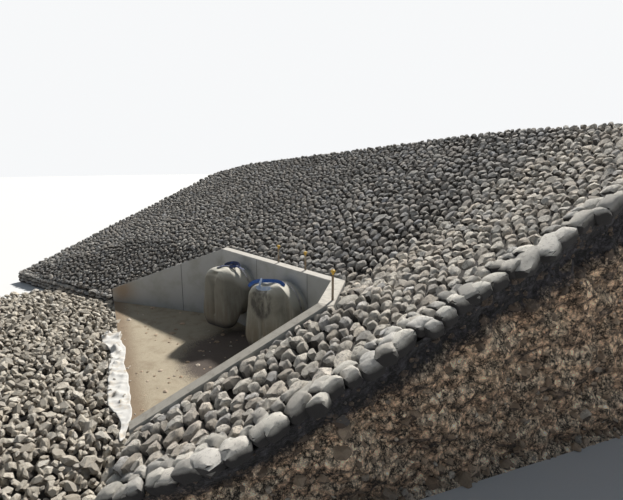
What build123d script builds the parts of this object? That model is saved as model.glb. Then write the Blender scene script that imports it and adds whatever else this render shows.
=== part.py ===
from build123d import *
import math
import os

# Hand-set rock pitching on the face of a bank, round a twin-pipe outlet with a
# concrete headwall, wing walls and apron. Millimetres, +Z up. X runs along the
# headwall, the water leaves towards -Y, and z = 0 is the level underside of
# everything. The origin lies below the middle of the headwall's front face.

# Levels
apron_top = 450
headwall_height = 2400

# Concrete walls
headwall_length = 5400
wall_thickness = 300
far_wing_length = 4900
far_wing_angle = 209.5
far_wing_end_height = 530
corner_length = 1800
corner_angle = -52.4
corner_thickness = 360
near_wing_length = 3920
near_wing_angle = -107.0
near_wing_end_height = 590
chamfer_size = 20

# Formwork seams left on the faces of the concrete
seam_spacing = 2400
seam_first = -620
seam_width = 16
seam_depth = 8
far_wing_seam = 1700

# Mortar landing on the near corner
landing_thickness = 40

# Culvert pipes and duckbill valves. The valve's sections are set out from the
# headwall's face, and their rise and drop from the pipe's axis.
pipe_centre = -135
pipe_spacing = 2430
pipe_bore = 1300
pipe_wall = 80
pipe_axis_height = 1300
pipe_projection = 450
cuff_wall = 45
cuff_start = 120
shoulder_reach = 800
shoulder_top_width = 1240
shoulder_foot_width = 1460
shoulder_rise = 880
shoulder_drop = 1090
bill_reach = 1120
bill_top_width = 1020
bill_foot_width = 1280
bill_rise = 800
bill_drop = 1020
nose_reach = 1230
nose_inset = 160
corner_runs = 9
lip_gap = 40
lip_depth = 90
saddle_width = 520
saddle_depth = 170
saddle_length = 470
clamp_width = 60
clamp_thickness = 12
clamp_margin = 110

# Lifting slings left on the valves
sling_width = 75
sling_thickness = 14
sling_length = 1040

# Bank slopes
slope = 0.5
pitching_above_wall = 20
pitching_depth = 340
near_uphill_angle = 48.0
crest_reach = 8160
verge_width = 700
corner_bays = 3

# Plan points of the far bank, measured from the origin
far_tip = (-14600, -4350)
far_shoulder = (-9000, -400)
far_crest_end = (-11750, 4900)
far_crest = (-9750, 5900)
far_wing_pitching_height = 500

# Plan points of the near bank
near_toe = (4000, -6100)
near_edge_start = (5600, -4800)
near_crest_run = 1300

# Large stones along the near edge
edge_stone_width = 430
edge_stone_length = 560
edge_stone_joint = 22
edge_stone_chamfer = 45
edge_stone_proud = 25

# Loose rock apron, its plan points and its separation cloth
rock_far_inner = (-10600, -4250)
rock_far_outer = (-10800, -6300)
rock_near_outer = (4300, -7700)
cloth_length = 6200
cloth_width = 560
cloth_tail_width = 240
cloth_lap = 120
cloth_thickness = 12
cloth_corner = 60
cloth_place = 0.665

# Marker pickets
picket_positions = (190, 1420)
picket_setback = 250
picket_height = 420
landing_picket_along = 1560
landing_picket_across = 290
landing_picket_height = 580
picket_blade = 30
picket_blade_thickness = 4
cap_height = 110
cap_radius = 55

os.makedirs("parts", exist_ok=True)


def step(point, angle, distance):
    turn = math.radians(angle)
    return (point[0] + distance * math.cos(turn), point[1] + distance * math.sin(turn))


def crossing(point_a, angle_a, point_b, angle_b):
    """Plan point where two lines meet, each given by a point and an angle."""
    ax, ay = math.cos(math.radians(angle_a)), math.sin(math.radians(angle_a))
    bx, by = math.cos(math.radians(angle_b)), math.sin(math.radians(angle_b))
    along = ((point_b[0] - point_a[0]) * by - (point_b[1] - point_a[1]) * bx) / (ax * by - ay * bx)
    return (point_a[0] + along * ax, point_a[1] + along * ay)


def heading(start, end):
    return math.degrees(math.atan2(end[1] - start[1], end[0] - start[0]))


def plane_through(a, b, c):
    """Plane with its normal up, through three points."""
    va, vb, vc = Vector(*a), Vector(*b), Vector(*c)
    normal = (vb - va).cross(vc - va)
    if normal.Z < 0:
        normal = normal * -1
    return Plane(origin=va, x_dir=vb - va, z_dir=normal)


def height_on(plane, point):
    """Height of a plane above a plan point."""
    n, o = plane.z_dir, plane.origin
    return o.Z - (n.X * (point[0] - o.X) + n.Y * (point[1] - o.Y)) / n.Z


def lowered(plane, drop):
    return Plane(origin=plane.origin - Vector(0, 0, drop), x_dir=plane.x_dir, z_dir=plane.z_dir)


def prism(outline, height, cut_above=(), cut_below=()):
    """Upright prism on a plan outline, trimmed by sloping planes."""
    with BuildPart() as piece:
        with BuildSketch(Plane.XY):
            with BuildLine():
                Polyline(*outline, close=True)
            make_face()
        extrude(amount=height)
        for plane in cut_above:
            split(bisect_by=plane, keep=Keep.BOTTOM)
        for plane in cut_below:
            split(bisect_by=plane, keep=Keep.TOP)
    return piece.part


def save(part, name):
    part.label = name
    export_step(part, f"parts/{name}.step")


# Setting out of the walls in plan
wall_top = apron_top + headwall_height
far_corner = (-headwall_length / 2, 0)
near_corner = (headwall_length / 2, 0)
far_wing_end = step(far_corner, far_wing_angle, far_wing_length)
landing_end = step(near_corner, corner_angle, corner_length)
near_wing_end = step(landing_end, near_wing_angle, near_wing_length)

headwall_back = (0, wall_thickness)
far_wing_back = step(far_corner, far_wing_angle - 90, wall_thickness)
corner_back = step(near_corner, corner_angle + 90, corner_thickness)
near_wing_back = step(landing_end, near_wing_angle + 90, wall_thickness)

far_corner_back = crossing(headwall_back, 0, far_wing_back, far_wing_angle)
near_corner_back = crossing(headwall_back, 0, corner_back, corner_angle)
landing_end_back = crossing(corner_back, corner_angle, near_wing_back, near_wing_angle)
far_wing_end_back = step(far_wing_end, far_wing_angle - 90, wall_thickness)
near_wing_end_back = step(near_wing_end, near_wing_angle + 90, wall_thickness)

pipe_outer_radius = pipe_bore / 2 + pipe_wall
pipe_axis = apron_top + pipe_axis_height

# Slope planes of the pitching's top. The headwall's back edge is a contour, and
# the slope turns round its near end as part of a cone.
cone_apex = (near_corner_back[0], near_corner_back[1])
apex_level = wall_top + pitching_above_wall
crest_level = apex_level + slope * crest_reach
far_plane = plane_through(
    (0, cone_apex[1], apex_level),
    (1000, cone_apex[1], apex_level),
    (0, cone_apex[1] + 1000, apex_level + 1000 * slope),
)
near_uphill = step(cone_apex, near_uphill_angle, 1000)
near_level = step(cone_apex, near_uphill_angle - 90, 1000)
near_plane = plane_through(
    (*cone_apex, apex_level),
    (*near_level, apex_level),
    (*near_uphill, apex_level + 1000 * slope),
)

# Two facets dip from the far bank to the top and the end of the far wing wall
shoulder_level = height_on(far_plane, far_shoulder)
tip_level = height_on(far_plane, far_tip)
wing_pitching_level = apron_top + far_wing_pitching_height
wing_plane = plane_through(
    (*far_corner_back, apex_level),
    (*far_wing_end_back, wing_pitching_level),
    (*far_shoulder, shoulder_level),
)
toe_plane = plane_through(
    (*far_tip, tip_level),
    (*far_wing_end_back, wing_pitching_level),
    (*far_shoulder, shoulder_level),
)

# Crest of the far bank, which drops from the cone's level to the far end
crest_at_cone = (cone_apex[0], cone_apex[1] + crest_reach)
crest_heading = heading(far_crest, crest_at_cone)
crest_over_corner = crossing(far_crest, crest_heading, far_corner_back, 90)
near_crest = step(cone_apex, near_uphill_angle, crest_reach)
near_crest_end = step(near_crest, near_uphill_angle - 90, near_crest_run)


def behind(point, angle):
    return step(point, angle, verge_width)


def crest_plane(start, end, surface):
    """Level across the verge, along a crest line that may fall."""
    back = behind(start, heading(start, end) + 90)
    start_level = height_on(surface, start)
    return plane_through((*start, start_level), (*end, height_on(surface, end)), (*back, start_level))


# Plan outlines of the bays, each flat on top
near_edge_heading = heading(near_edge_start, near_crest_end)
near_split = crossing(landing_end_back, near_uphill_angle - 90, near_edge_start, near_edge_heading)
far_end_outline = [far_tip, far_shoulder, far_crest, far_crest_end]
far_toe_outline = [far_tip, far_wing_end, far_wing_end_back, far_shoulder]
beside_wing_outline = [far_wing_end_back, far_corner_back, far_shoulder]
far_bank_outline = [far_shoulder, far_corner_back, crest_over_corner, far_crest]
over_headwall_outline = [far_corner_back, cone_apex, crest_at_cone, crest_over_corner]

# Along the near edge a row of large stones takes the place of the pitching
toe_edge_heading = heading(near_toe, near_edge_start)
near_toe_heading = heading(near_wing_end_back, near_toe)
contour = near_uphill_angle - 90
edge_inner = step(near_edge_start, near_edge_heading + 90, edge_stone_width)
toe_edge_inner = step(near_toe, toe_edge_heading + 90, edge_stone_width)
edge_corner_inner = crossing(edge_inner, near_edge_heading, toe_edge_inner, toe_edge_heading)
near_toe_inner = crossing(toe_edge_inner, toe_edge_heading, near_toe, near_toe_heading)
near_split_inner = crossing(edge_inner, near_edge_heading, landing_end_back, contour)
near_crest_inner = crossing(edge_inner, near_edge_heading, near_crest, contour)
near_upper_outline = [cone_apex, landing_end_back, near_split_inner, near_crest_inner, near_crest]
near_lower_outline = [landing_end_back, near_wing_end_back, near_toe_inner, edge_corner_inner, near_split_inner]

# The fill carries the edge stones too, and a verge behind the crest
far_end_heading = heading(far_crest_end, far_crest)
far_end_behind = behind(far_crest_end, far_end_heading + 90)
far_end_back = crossing(far_tip, heading(far_tip, far_crest_end), far_end_behind, far_end_heading)
far_crest_back = crossing(far_end_behind, far_end_heading, behind(far_crest, crest_heading + 90), crest_heading)
over_corner_back = crossing(far_crest_back, crest_heading, far_corner_back, 90)
cone_crest_back = step(cone_apex, 90, crest_reach + verge_width)
near_crest_back = step(cone_apex, near_uphill_angle, crest_reach + verge_width)
near_end_back = crossing(near_crest_end, near_edge_heading, near_crest_back, contour)
far_end_fill = [far_tip, far_shoulder, far_crest, far_crest_back, far_end_back]
far_bank_fill = [far_shoulder, far_corner_back, over_corner_back, far_crest_back, far_crest]
over_headwall_fill = [far_corner_back, cone_apex, cone_crest_back, over_corner_back]
near_upper_fill = [cone_apex, landing_end_back, near_split, near_crest_end, near_end_back, near_crest_back]
near_lower_fill = [landing_end_back, near_wing_end_back, near_toe, near_edge_start, near_split]
far_end_crest = crest_plane(far_crest_end, far_crest, far_plane)
far_crest_plane = crest_plane(far_crest, crest_at_cone, far_plane)
level_crest = Plane.XY.offset(crest_level)


flat_bays = {
    "far_end": (far_end_outline, far_plane),
    "far_toe": (far_toe_outline, toe_plane),
    "beside_wing": (beside_wing_outline, wing_plane),
    "far_bank": (far_bank_outline, far_plane),
    "over_headwall": (over_headwall_outline, far_plane),
    "near_upper": (near_upper_outline, near_plane),
    "near_lower": (near_lower_outline, near_plane),
}
tallest = crest_level + 500

# Pitching: a layer of set stone of one depth, bay by bay
for name, (outline, surface) in flat_bays.items():
    layer = prism(outline, tallest, [surface], [lowered(surface, pitching_depth)])
    save(layer, f"pitching_{name}")

# Bank fill: runs from the underside of the pitching down to the level base, with
# a narrow verge behind the crest
fill_bays = {
    "far_end": (far_end_fill, far_plane, far_end_crest),
    "far_toe": (far_toe_outline, toe_plane, None),
    "beside_wing": (beside_wing_outline, wing_plane, None),
    "far_bank": (far_bank_fill, far_plane, far_crest_plane),
    "over_headwall": (over_headwall_fill, far_plane, far_crest_plane),
    "near_upper": (near_upper_fill, near_plane, level_crest),
    "near_lower": (near_lower_fill, near_plane, None),
}
for name, (outline, surface, crest) in fill_bays.items():
    tops = [lowered(plane, pitching_depth) for plane in (surface, crest) if plane]
    save(prism(outline, tallest, tops), f"fill_{name}")

# The corner bays are sectors of a cone about the headwall's near back corner
bay_angle = (90 - near_uphill_angle) / corner_bays
cone_axis = Axis((*cone_apex, 0), (0, 0, 1))
for bay in range(corner_bays):
    start = math.radians(near_uphill_angle + bay * bay_angle)
    section = Plane(
        origin=(*cone_apex, 0),
        x_dir=(math.cos(start), math.sin(start), 0),
        z_dir=(math.sin(start), -math.cos(start), 0),
    )
    bed_apex = apex_level - pitching_depth
    bed_crest = crest_level - pitching_depth
    with BuildPart() as corner_pitching:
        with BuildSketch(section):
            with BuildLine():
                Polyline(
                    (0, bed_apex), (crest_reach, bed_crest), (crest_reach, crest_level), (0, apex_level), close=True
                )
            make_face()
        revolve(axis=cone_axis, revolution_arc=bay_angle)
    save(corner_pitching.part, f"pitching_corner_{bay + 1}")

    with BuildPart() as corner_fill:
        with BuildSketch(section):
            with BuildLine():
                Polyline(
                    (0, 0),
                    (crest_reach + verge_width, 0),
                    (crest_reach + verge_width, bed_crest),
                    (crest_reach, bed_crest),
                    (0, bed_apex),
                    close=True,
                )
            make_face()
        revolve(axis=cone_axis, revolution_arc=bay_angle)
    save(corner_fill.part, f"fill_corner_{bay + 1}")


def between(a, b, share):
    return (a[0] + (b[0] - a[0]) * share, a[1] + (b[1] - a[1]) * share)


def edge_row(outer_start, outer_end, inner_start, inner_end, first):
    """Large stones in line between an outer and an inner plan line, none alike."""
    length = math.dist(outer_start, outer_end)
    count = max(2, round(length / edge_stone_length))
    joint = edge_stone_joint / 2 / length
    for number in range(count):
        ends = []
        for end in (number, number + 1):
            uneven = 0.24 * math.sin(2.4 * (end + first)) if 0 < end < count else 0
            ends.append((end + uneven) / count)
        low, high = ends[0] + joint, ends[1] - joint
        outline = [
            between(outer_start, outer_end, low),
            between(outer_start, outer_end, high),
            between(inner_start, inner_end, high),
            between(inner_start, inner_end, low),
        ]
        proud = edge_stone_proud * (1 + 0.6 * math.sin(1.7 * (number + first)))
        top = lowered(near_plane, -proud)
        with BuildPart() as stone:
            with BuildSketch(Plane.XY):
                with BuildLine():
                    Polyline(*outline, close=True)
                make_face()
            extrude(amount=tallest)
            split(bisect_by=top, keep=Keep.BOTTOM)
            split(bisect_by=lowered(near_plane, pitching_depth), keep=Keep.TOP)
            upper_face = stone.faces().filter_by(lambda face: face.normal_at().Z > 0.5)[0]
            chamfer(upper_face.edges(), length=edge_stone_chamfer)
        yield stone.part


with BuildPart() as edge_stones:
    for stone in edge_row(near_toe, near_edge_start, near_toe_inner, edge_corner_inner, 0):
        add(stone)
    for stone in edge_row(near_edge_start, near_crest_end, edge_corner_inner, near_crest_inner, 7):
        add(stone)
save(edge_stones.part, "edge_stones")


# Headwall: cast in one with the seams of its formwork, and a hole for each pipe
with BuildPart() as headwall:
    with BuildSketch(Plane.XY):
        with BuildLine():
            Polyline(far_corner, near_corner, near_corner_back, far_corner_back, close=True)
        make_face()
    extrude(amount=wall_top)
    front_top = headwall.edges().filter_by(Axis.X).group_by(Axis.Z)[-1].sort_by(Axis.Y)[0]
    chamfer(front_top, length=chamfer_size)
    with BuildSketch(Plane.XZ):
        with Locations((pipe_centre, pipe_axis)):
            with GridLocations(pipe_spacing, 0, 2, 1):
                Circle(pipe_outer_radius)
    extrude(amount=-wall_thickness, mode=Mode.SUBTRACT)
    with BuildSketch(Plane.XZ):
        with Locations((seam_first, apron_top), (seam_first + seam_spacing, apron_top)):
            Rectangle(seam_width, headwall_height, align=(Align.CENTER, Align.MIN))
    extrude(amount=-seam_depth, mode=Mode.SUBTRACT)
save(headwall.part, "headwall")


def wing(corner, end, end_back, corner_back, corner_level, end_level, across, seam=None):
    """Wall on a plan outline whose top falls evenly from its corner to its end."""
    side = step(corner, across, wall_thickness)
    top = plane_through((*corner, corner_level), (*end, end_level), (*side, corner_level))
    with BuildPart() as wall:
        with BuildSketch(Plane.XY):
            with BuildLine():
                Polyline(corner, end, end_back, corner_back, close=True)
            make_face()
        extrude(amount=corner_level)
        split(bisect_by=top, keep=Keep.BOTTOM)
        sloping = wall.faces().filter_by(lambda face: 0.5 < face.normal_at().Z < 0.999)[0]
        long_edges = sloping.edges().sort_by(SortBy.LENGTH)[-2:]
        chamfer(long_edges.sort_by_distance((0, end[1], corner_level))[0], length=chamfer_size)
        if seam:
            along = heading(corner, end)
            foot = step(corner, along, seam)
            turn = math.radians(along)
            face_plane = Plane(
                origin=(*foot, apron_top),
                x_dir=(math.cos(turn), math.sin(turn), 0),
                z_dir=(math.cos(math.radians(across)), math.sin(math.radians(across)), 0),
            )
            with BuildSketch(face_plane):
                Rectangle(seam_width, 2 * headwall_height)
            extrude(amount=seam_depth, mode=Mode.SUBTRACT)
    return wall.part


save(
    wing(
        far_corner,
        far_wing_end,
        far_wing_end_back,
        far_corner_back,
        wall_top,
        apron_top + far_wing_end_height,
        far_wing_angle - 90,
        seam=far_wing_seam,
    ),
    "far_wing_wall",
)
save(
    wing(
        landing_end,
        near_wing_end,
        near_wing_end_back,
        landing_end_back,
        wall_top,
        apron_top + near_wing_end_height,
        near_wing_angle + 90,
    ),
    "near_wing_wall",
)

# Near corner wall, topped by a trowelled landing of mortar
corner_outline = [near_corner, landing_end, landing_end_back, near_corner_back]
save(prism(corner_outline, wall_top - landing_thickness), "corner_wall")
with BuildPart() as landing:
    with BuildSketch(Plane.XY.offset(wall_top - landing_thickness)):
        with BuildLine():
            Polyline(*corner_outline, close=True)
        make_face()
    extrude(amount=landing_thickness)
    chamfer(landing.faces().sort_by(Axis.Z)[-1].edges(), length=landing_thickness / 4)
save(landing.part, "corner_landing")

# Apron slab between the walls, cut straight across downstream
save(prism([far_corner, far_wing_end, near_wing_end, landing_end, near_corner], apron_top), "apron_slab")

# Culvert pipes through the headwall, with a duckbill valve clamped on each
sides = {"far": pipe_centre - pipe_spacing / 2, "near": pipe_centre + pipe_spacing / 2}
cuff_radius = pipe_outer_radius + cuff_wall

# A valve goes from round at the cuff to a tall bag with a heavy foot, then in to
# the bill, and bulges outwards all the way until its slit and saddle are cut.
# Its sections: reach, top width, foot width, rise, drop and roundness.
valve_sections = [
    (pipe_projection, 2 * cuff_radius, 2 * cuff_radius, cuff_radius, cuff_radius, 0.49),
    (shoulder_reach, shoulder_top_width, shoulder_foot_width, shoulder_rise, shoulder_drop, 0.42),
    (bill_reach, bill_top_width, bill_foot_width, bill_rise, bill_drop, 0.40),
    (
        nose_reach,
        bill_top_width - 2 * nose_inset,
        bill_foot_width - 2 * nose_inset,
        bill_rise - nose_inset,
        bill_drop - nose_inset,
        0.40,
    ),
]


def facing(x, reach):
    """Upright plane in front of the headwall that looks along the pipe, +Z up."""
    return Plane(origin=(x, -reach, pipe_axis), x_dir=(1, 0, 0), z_dir=(0, -1, 0))


def bag_outline(top_width, foot_width, rise, drop, roundness):
    """Closed outline with round shoulders and a round foot, in short straight runs."""
    corners = [
        (1, top_width, rise - roundness * top_width, 0),
        (-1, top_width, rise - roundness * top_width, 90),
        (-1, foot_width, roundness * foot_width - drop, 180),
        (1, foot_width, roundness * foot_width - drop, 270),
    ]
    points = []
    for hand, width, level, first in corners:
        radius = roundness * width
        centre = (hand * (width / 2 - radius), level)
        for run in range(corner_runs + 1):
            points.append(step(centre, first + 90 * run / corner_runs, radius))
    return points


for side, x in sides.items():
    with BuildPart() as pipe:
        with BuildSketch(facing(x, -wall_thickness)):
            Circle(pipe_outer_radius)
            Circle(pipe_bore / 2, mode=Mode.SUBTRACT)
        extrude(amount=wall_thickness + pipe_projection)
    save(pipe.part, f"{side}_pipe")

    bag_points = []
    for reach, *shape in valve_sections:
        section = facing(x, reach)
        bag_points += [section.from_local_coords((*point, 0)) for point in bag_outline(*shape)]
    with BuildPart() as valve:
        ConvexPolyhedron(bag_points)
        with BuildSketch(facing(x, cuff_start)):
            Circle(cuff_radius)
            Circle(pipe_outer_radius, mode=Mode.SUBTRACT)
        extrude(amount=pipe_projection - cuff_start)
        with BuildSketch(facing(x, nose_reach)):
            Rectangle(lip_gap, 2 * bill_drop)
        extrude(amount=-lip_depth, mode=Mode.SUBTRACT)
        with BuildSketch(facing(x, nose_reach)):
            with BuildLine():
                Polyline(
                    (-saddle_width / 2, shoulder_rise),
                    (0, shoulder_rise - saddle_depth),
                    (saddle_width / 2, shoulder_rise),
                    close=True,
                )
            make_face()
        extrude(amount=-saddle_length, mode=Mode.SUBTRACT)
    save(valve.part, f"{side}_valve")
    valve_top = valve.vertices().sort_by(Axis.Z)[-1].Z

    with BuildPart() as clamp:
        with BuildSketch(facing(x, cuff_start + clamp_margin)):
            Circle(cuff_radius + clamp_thickness)
            Circle(cuff_radius, mode=Mode.SUBTRACT)
        extrude(amount=clamp_width)
    save(clamp.part, f"{side}_valve_clamp")

    with BuildPart() as sling:
        with BuildSketch(Plane((x, saddle_length - nose_reach, valve_top))):
            RectangleRounded(sling_length, sling_width, sling_width / 4)
        extrude(amount=sling_thickness)
    save(sling.part, f"{side}_valve_sling")

# Marker pickets: star-section steel posts with a wide plastic cap
landing_foot = step(near_corner, corner_angle, landing_picket_along)
pickets_set = [(foot, picket_setback, picket_height) for foot in picket_positions]
pickets_set.append((*step(landing_foot, corner_angle + 90, landing_picket_across), landing_picket_height))
with BuildPart() as pickets:
    for foot_x, foot_y, height in pickets_set:
        with BuildSketch(Plane.XY.offset(wall_top)):
            with Locations((foot_x, foot_y)):
                Circle(picket_blade_thickness)
                with PolarLocations(picket_blade / 2, 3):
                    Rectangle(picket_blade, picket_blade_thickness)
        extrude(amount=height)
save(pickets.part, "marker_pickets")

with BuildPart() as caps:
    for foot_x, foot_y, height in pickets_set:
        with BuildSketch(Plane.XY.offset(wall_top + height)):
            with Locations((foot_x, foot_y)):
                Circle(cap_radius)
        extrude(amount=cap_height)
    cap_rims = caps.edges().filter_by(GeomType.CIRCLE).filter_by(
        lambda rim: any(abs(rim.center().Z - wall_top - height - cap_height) < 1 for _, _, height in pickets_set)
    )
    chamfer(cap_rims, length=cap_radius / 2)
save(caps.part, "picket_caps")

# Loose rock beyond the apron, and the cloth that shows along its edge
rock_outline = [
    far_wing_end,
    rock_far_inner,
    rock_far_outer,
    rock_near_outer,
    near_toe,
    near_wing_end_back,
    near_wing_end,
]
save(prism(rock_outline, apron_top), "rock_apron")

apron_edge = heading(far_wing_end, near_wing_end)
cloth_middle = between(far_wing_end, near_wing_end, cloth_place)
with BuildPart() as cloth:
    with BuildSketch(Plane.XY.offset(apron_top)):
        with Locations(Location((*cloth_middle, 0), (0, 0, apron_edge))):
            Polygon(
                (-cloth_length / 2, cloth_lap - cloth_width),
                (cloth_length / 2, cloth_lap - cloth_tail_width),
                (cloth_length / 2, cloth_lap),
                (-cloth_length / 2, cloth_lap),
                align=None,
            )
        fillet(vertices(), radius=cloth_corner)
    extrude(amount=cloth_thickness)
save(cloth.part, "separation_cloth")
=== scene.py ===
import math
import random

import bpy
import numpy as np
from mathutils import Matrix, Vector, kdtree, noise
from mathutils.bvhtree import BVHTree


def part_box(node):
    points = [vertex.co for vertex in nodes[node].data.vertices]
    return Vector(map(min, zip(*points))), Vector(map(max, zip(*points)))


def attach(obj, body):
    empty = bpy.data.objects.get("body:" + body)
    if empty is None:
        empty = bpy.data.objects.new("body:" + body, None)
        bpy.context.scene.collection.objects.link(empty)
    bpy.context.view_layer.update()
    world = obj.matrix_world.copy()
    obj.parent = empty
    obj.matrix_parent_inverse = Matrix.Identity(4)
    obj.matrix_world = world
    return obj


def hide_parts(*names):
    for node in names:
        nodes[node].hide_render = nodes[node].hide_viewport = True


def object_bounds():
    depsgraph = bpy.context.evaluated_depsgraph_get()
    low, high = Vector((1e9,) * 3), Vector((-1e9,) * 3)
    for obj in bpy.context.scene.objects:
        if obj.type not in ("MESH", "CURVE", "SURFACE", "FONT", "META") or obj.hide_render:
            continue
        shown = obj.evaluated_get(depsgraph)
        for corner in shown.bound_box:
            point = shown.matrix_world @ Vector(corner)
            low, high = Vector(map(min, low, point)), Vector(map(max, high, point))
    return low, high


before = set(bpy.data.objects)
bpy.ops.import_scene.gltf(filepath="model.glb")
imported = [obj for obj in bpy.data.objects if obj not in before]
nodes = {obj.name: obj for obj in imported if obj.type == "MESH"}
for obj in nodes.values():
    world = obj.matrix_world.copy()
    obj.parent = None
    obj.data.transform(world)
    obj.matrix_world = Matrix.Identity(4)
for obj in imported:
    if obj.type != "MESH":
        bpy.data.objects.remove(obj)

cad_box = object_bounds()

# The studio: a wide pale floor under the open air, and one soft lamp high behind the
# headwall, which leaves the near sides of the stones and the walls in shade.
# The camera stands beyond the near bank and looks down across the outlet.
camera_place = (10.686, -7.617, 5.90)
camera_pitch = 78.45
camera_heading = 48.88
film_width = 36
focal_length = 450 / 623 * film_width
lamp_heading = 116
lamp_height = 44
lamp_strength = 5.5
lamp_spread = 4
lamp_colour = (1.0, 0.975, 0.93)
sky_strength = 0.19
sky_colour = (0.70, 0.83, 1.0)
backdrop_colour = (0.93, 0.94, 0.95)
floor_colour = (0.72, 0.72, 0.71)
floor_radius = 160

scene = bpy.context.scene
scene.view_settings.view_transform = "Standard"

bpy.ops.object.camera_add(
    location=camera_place,
    rotation=(math.radians(camera_pitch), 0, math.radians(camera_heading)),
)
camera = bpy.context.object
camera.data.sensor_width = film_width
camera.data.lens = focal_length
camera.data.clip_end = 500
scene.camera = camera

bpy.ops.object.light_add(
    type="SUN",
    rotation=(0, math.radians(90 - lamp_height), math.radians(lamp_heading)),
)
lamp = bpy.context.object
lamp.data.energy = lamp_strength
lamp.data.angle = math.radians(lamp_spread)
lamp.data.color = lamp_colour


def plug(tree, node, values):
    """Sets a node's sockets. Numbers and colours are typed in, what another node gives is linked."""
    for name, value in values.items():
        socket = node.inputs[name]
        if isinstance(value, bpy.types.NodeSocket):
            tree.links.new(value, socket)
        else:
            socket.default_value = (*value, 1) if socket.type == "RGBA" else value


def maths(tree, operation, *values):
    node = tree.nodes.new("ShaderNodeMath")
    node.operation = operation
    plug(tree, node, dict(enumerate(values)))
    return node.outputs[0]


def seen_directly(tree):
    """1 for what the camera, a gloss or clear stuff sees, and 0 for plain light."""
    path = tree.nodes.new("ShaderNodeLightPath")
    seen = maths(tree, "MAXIMUM", path.outputs["Is Camera Ray"], path.outputs["Is Glossy Ray"])
    return maths(tree, "MAXIMUM", seen, path.outputs["Is Transmission Ray"])


world = bpy.data.worlds.new("open_air")
world.use_nodes = True
scene.world = world
sky = world.node_tree
sky_light = sky.nodes["Background"]
plug(sky, sky_light, {"Color": sky_colour, "Strength": sky_strength})
backdrop = sky.nodes.new("ShaderNodeBackground")
plug(sky, backdrop, {"Color": backdrop_colour})
sky_mix = sky.nodes.new("ShaderNodeMixShader")
plug(sky, sky_mix, {"Fac": seen_directly(sky), 1: sky_light.outputs[0], 2: backdrop.outputs[0]})
plug(sky, sky.nodes["World Output"], {"Surface": sky_mix.outputs[0]})

bpy.ops.mesh.primitive_circle_add(
    vertices=96, radius=floor_radius, fill_type="NGON", location=(0, 0, -0.002)
)
floor = bpy.context.object
floor.name = "floor"
floor_material = bpy.data.materials.new("pale_floor")
floor_material.use_nodes = True
floor_finish = floor_material.node_tree.nodes["Principled BSDF"]
plug(floor_material.node_tree, floor_finish, {"Base Color": floor_colour, "Roughness": 0.9})
floor.data.materials.append(floor_material)

# Bank fill: clay and gravel soil, tipped and rolled in layers under the pitching.
# Its cut sides are rough and near black under the stones, as damp soil and as painted
# shadow. Their colour also carries painted light and shade: faces turned up and the
# middles of crumbs paler, faces turned down and the edges of crumbs darker, and the
# shaded near side paler than the lit sides.
soil_dry = (0.50, 0.335, 0.220)
soil_layer = (0.66, 0.49, 0.33)
soil_dust_and_light = (0.74, 0.59, 0.43)
soil_underside_shade = (0.150, 0.112, 0.085)
soil_damp_and_shadow = (0.030, 0.028, 0.032)
cut_roughness = 0.36
cut_rows = 60
near_cut_step = 0.07
hidden_cut_step = 0.12
corner_blend = 0.25
edge_inset = 0.003
# Other nodes are looked for round a point held off a face. The face lies open if all are
# farther than the next distance, and it is shared if a fill is nearer than the last.
held_off = 0.02
nearest_open = 0.021
farthest_shared = 0.0205
# The near-black band of damp soil and painted shadow under the stones: its height at the foot, and how it
# grows with the level.
dark_band_depth = 0.5
dark_band_growth = 0.16


def map_range(tree, value, start=0, end=1, low=0, high=1, ease="LINEAR"):
    """Goes from low to high as a value goes from start to end."""
    node = tree.nodes.new("ShaderNodeMapRange")
    node.interpolation_type = ease
    plug(tree, node, {"Value": value, "From Min": start, "From Max": end, "To Min": low, "To Max": high})
    return node.outputs["Result"]


def fade(tree, value, start, end, height=None, wander=0):
    """A mask that falls from 1 to 0 as a value goes from start to end, with a wandering edge."""
    if wander:
        value = maths(tree, "MULTIPLY_ADD", height, wander, value)
    return map_range(tree, value, start, end, 1, 0, "SMOOTHSTEP")


def lay_over(tree, below, above, mask):
    """The colour above where the mask is 1, and the colour below where it is 0."""
    mix = tree.nodes.new("ShaderNodeMix")
    mix.data_type = "RGBA"
    plug(tree, mix, {"Factor": mask, "A": below, "B": above})
    return mix.outputs["Result"]


def vector_maths(tree, operation, values, output=0):
    node = tree.nodes.new("ShaderNodeVectorMath")
    node.operation = operation
    plug(tree, node, values)
    return node.outputs[output]


def scaled(tree, colour, brightness):
    return vector_maths(tree, "SCALE", {0: colour, "Scale": brightness})


def noise_texture(tree, place, scale, detail, roughness):
    node = tree.nodes.new("ShaderNodeTexNoise")
    plug(tree, node, {"Vector": place, "Scale": scale, "Detail": detail, "Roughness": roughness})
    return node.outputs["Fac"]


def place_on(tree):
    return tree.nodes.new("ShaderNodeTexCoord").outputs["Object"]


def painted(tree, name, output="Fac"):
    """What a mesh carries at its corners under a name."""
    node = tree.nodes.new("ShaderNodeAttribute")
    node.attribute_name = name
    return node.outputs[output]


def upright_part(tree, vector):
    parts = tree.nodes.new("ShaderNodeSeparateXYZ")
    plug(tree, parts, {"Vector": vector})
    return parts.outputs["Z"]


def lie_up(tree, least, most):
    """A mask of what faces up, from 0 at one slope to 1 at another."""
    surface = tree.nodes.new("ShaderNodeNewGeometry")
    return map_range(tree, upright_part(tree, surface.outputs["Normal"]), least, most)


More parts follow.
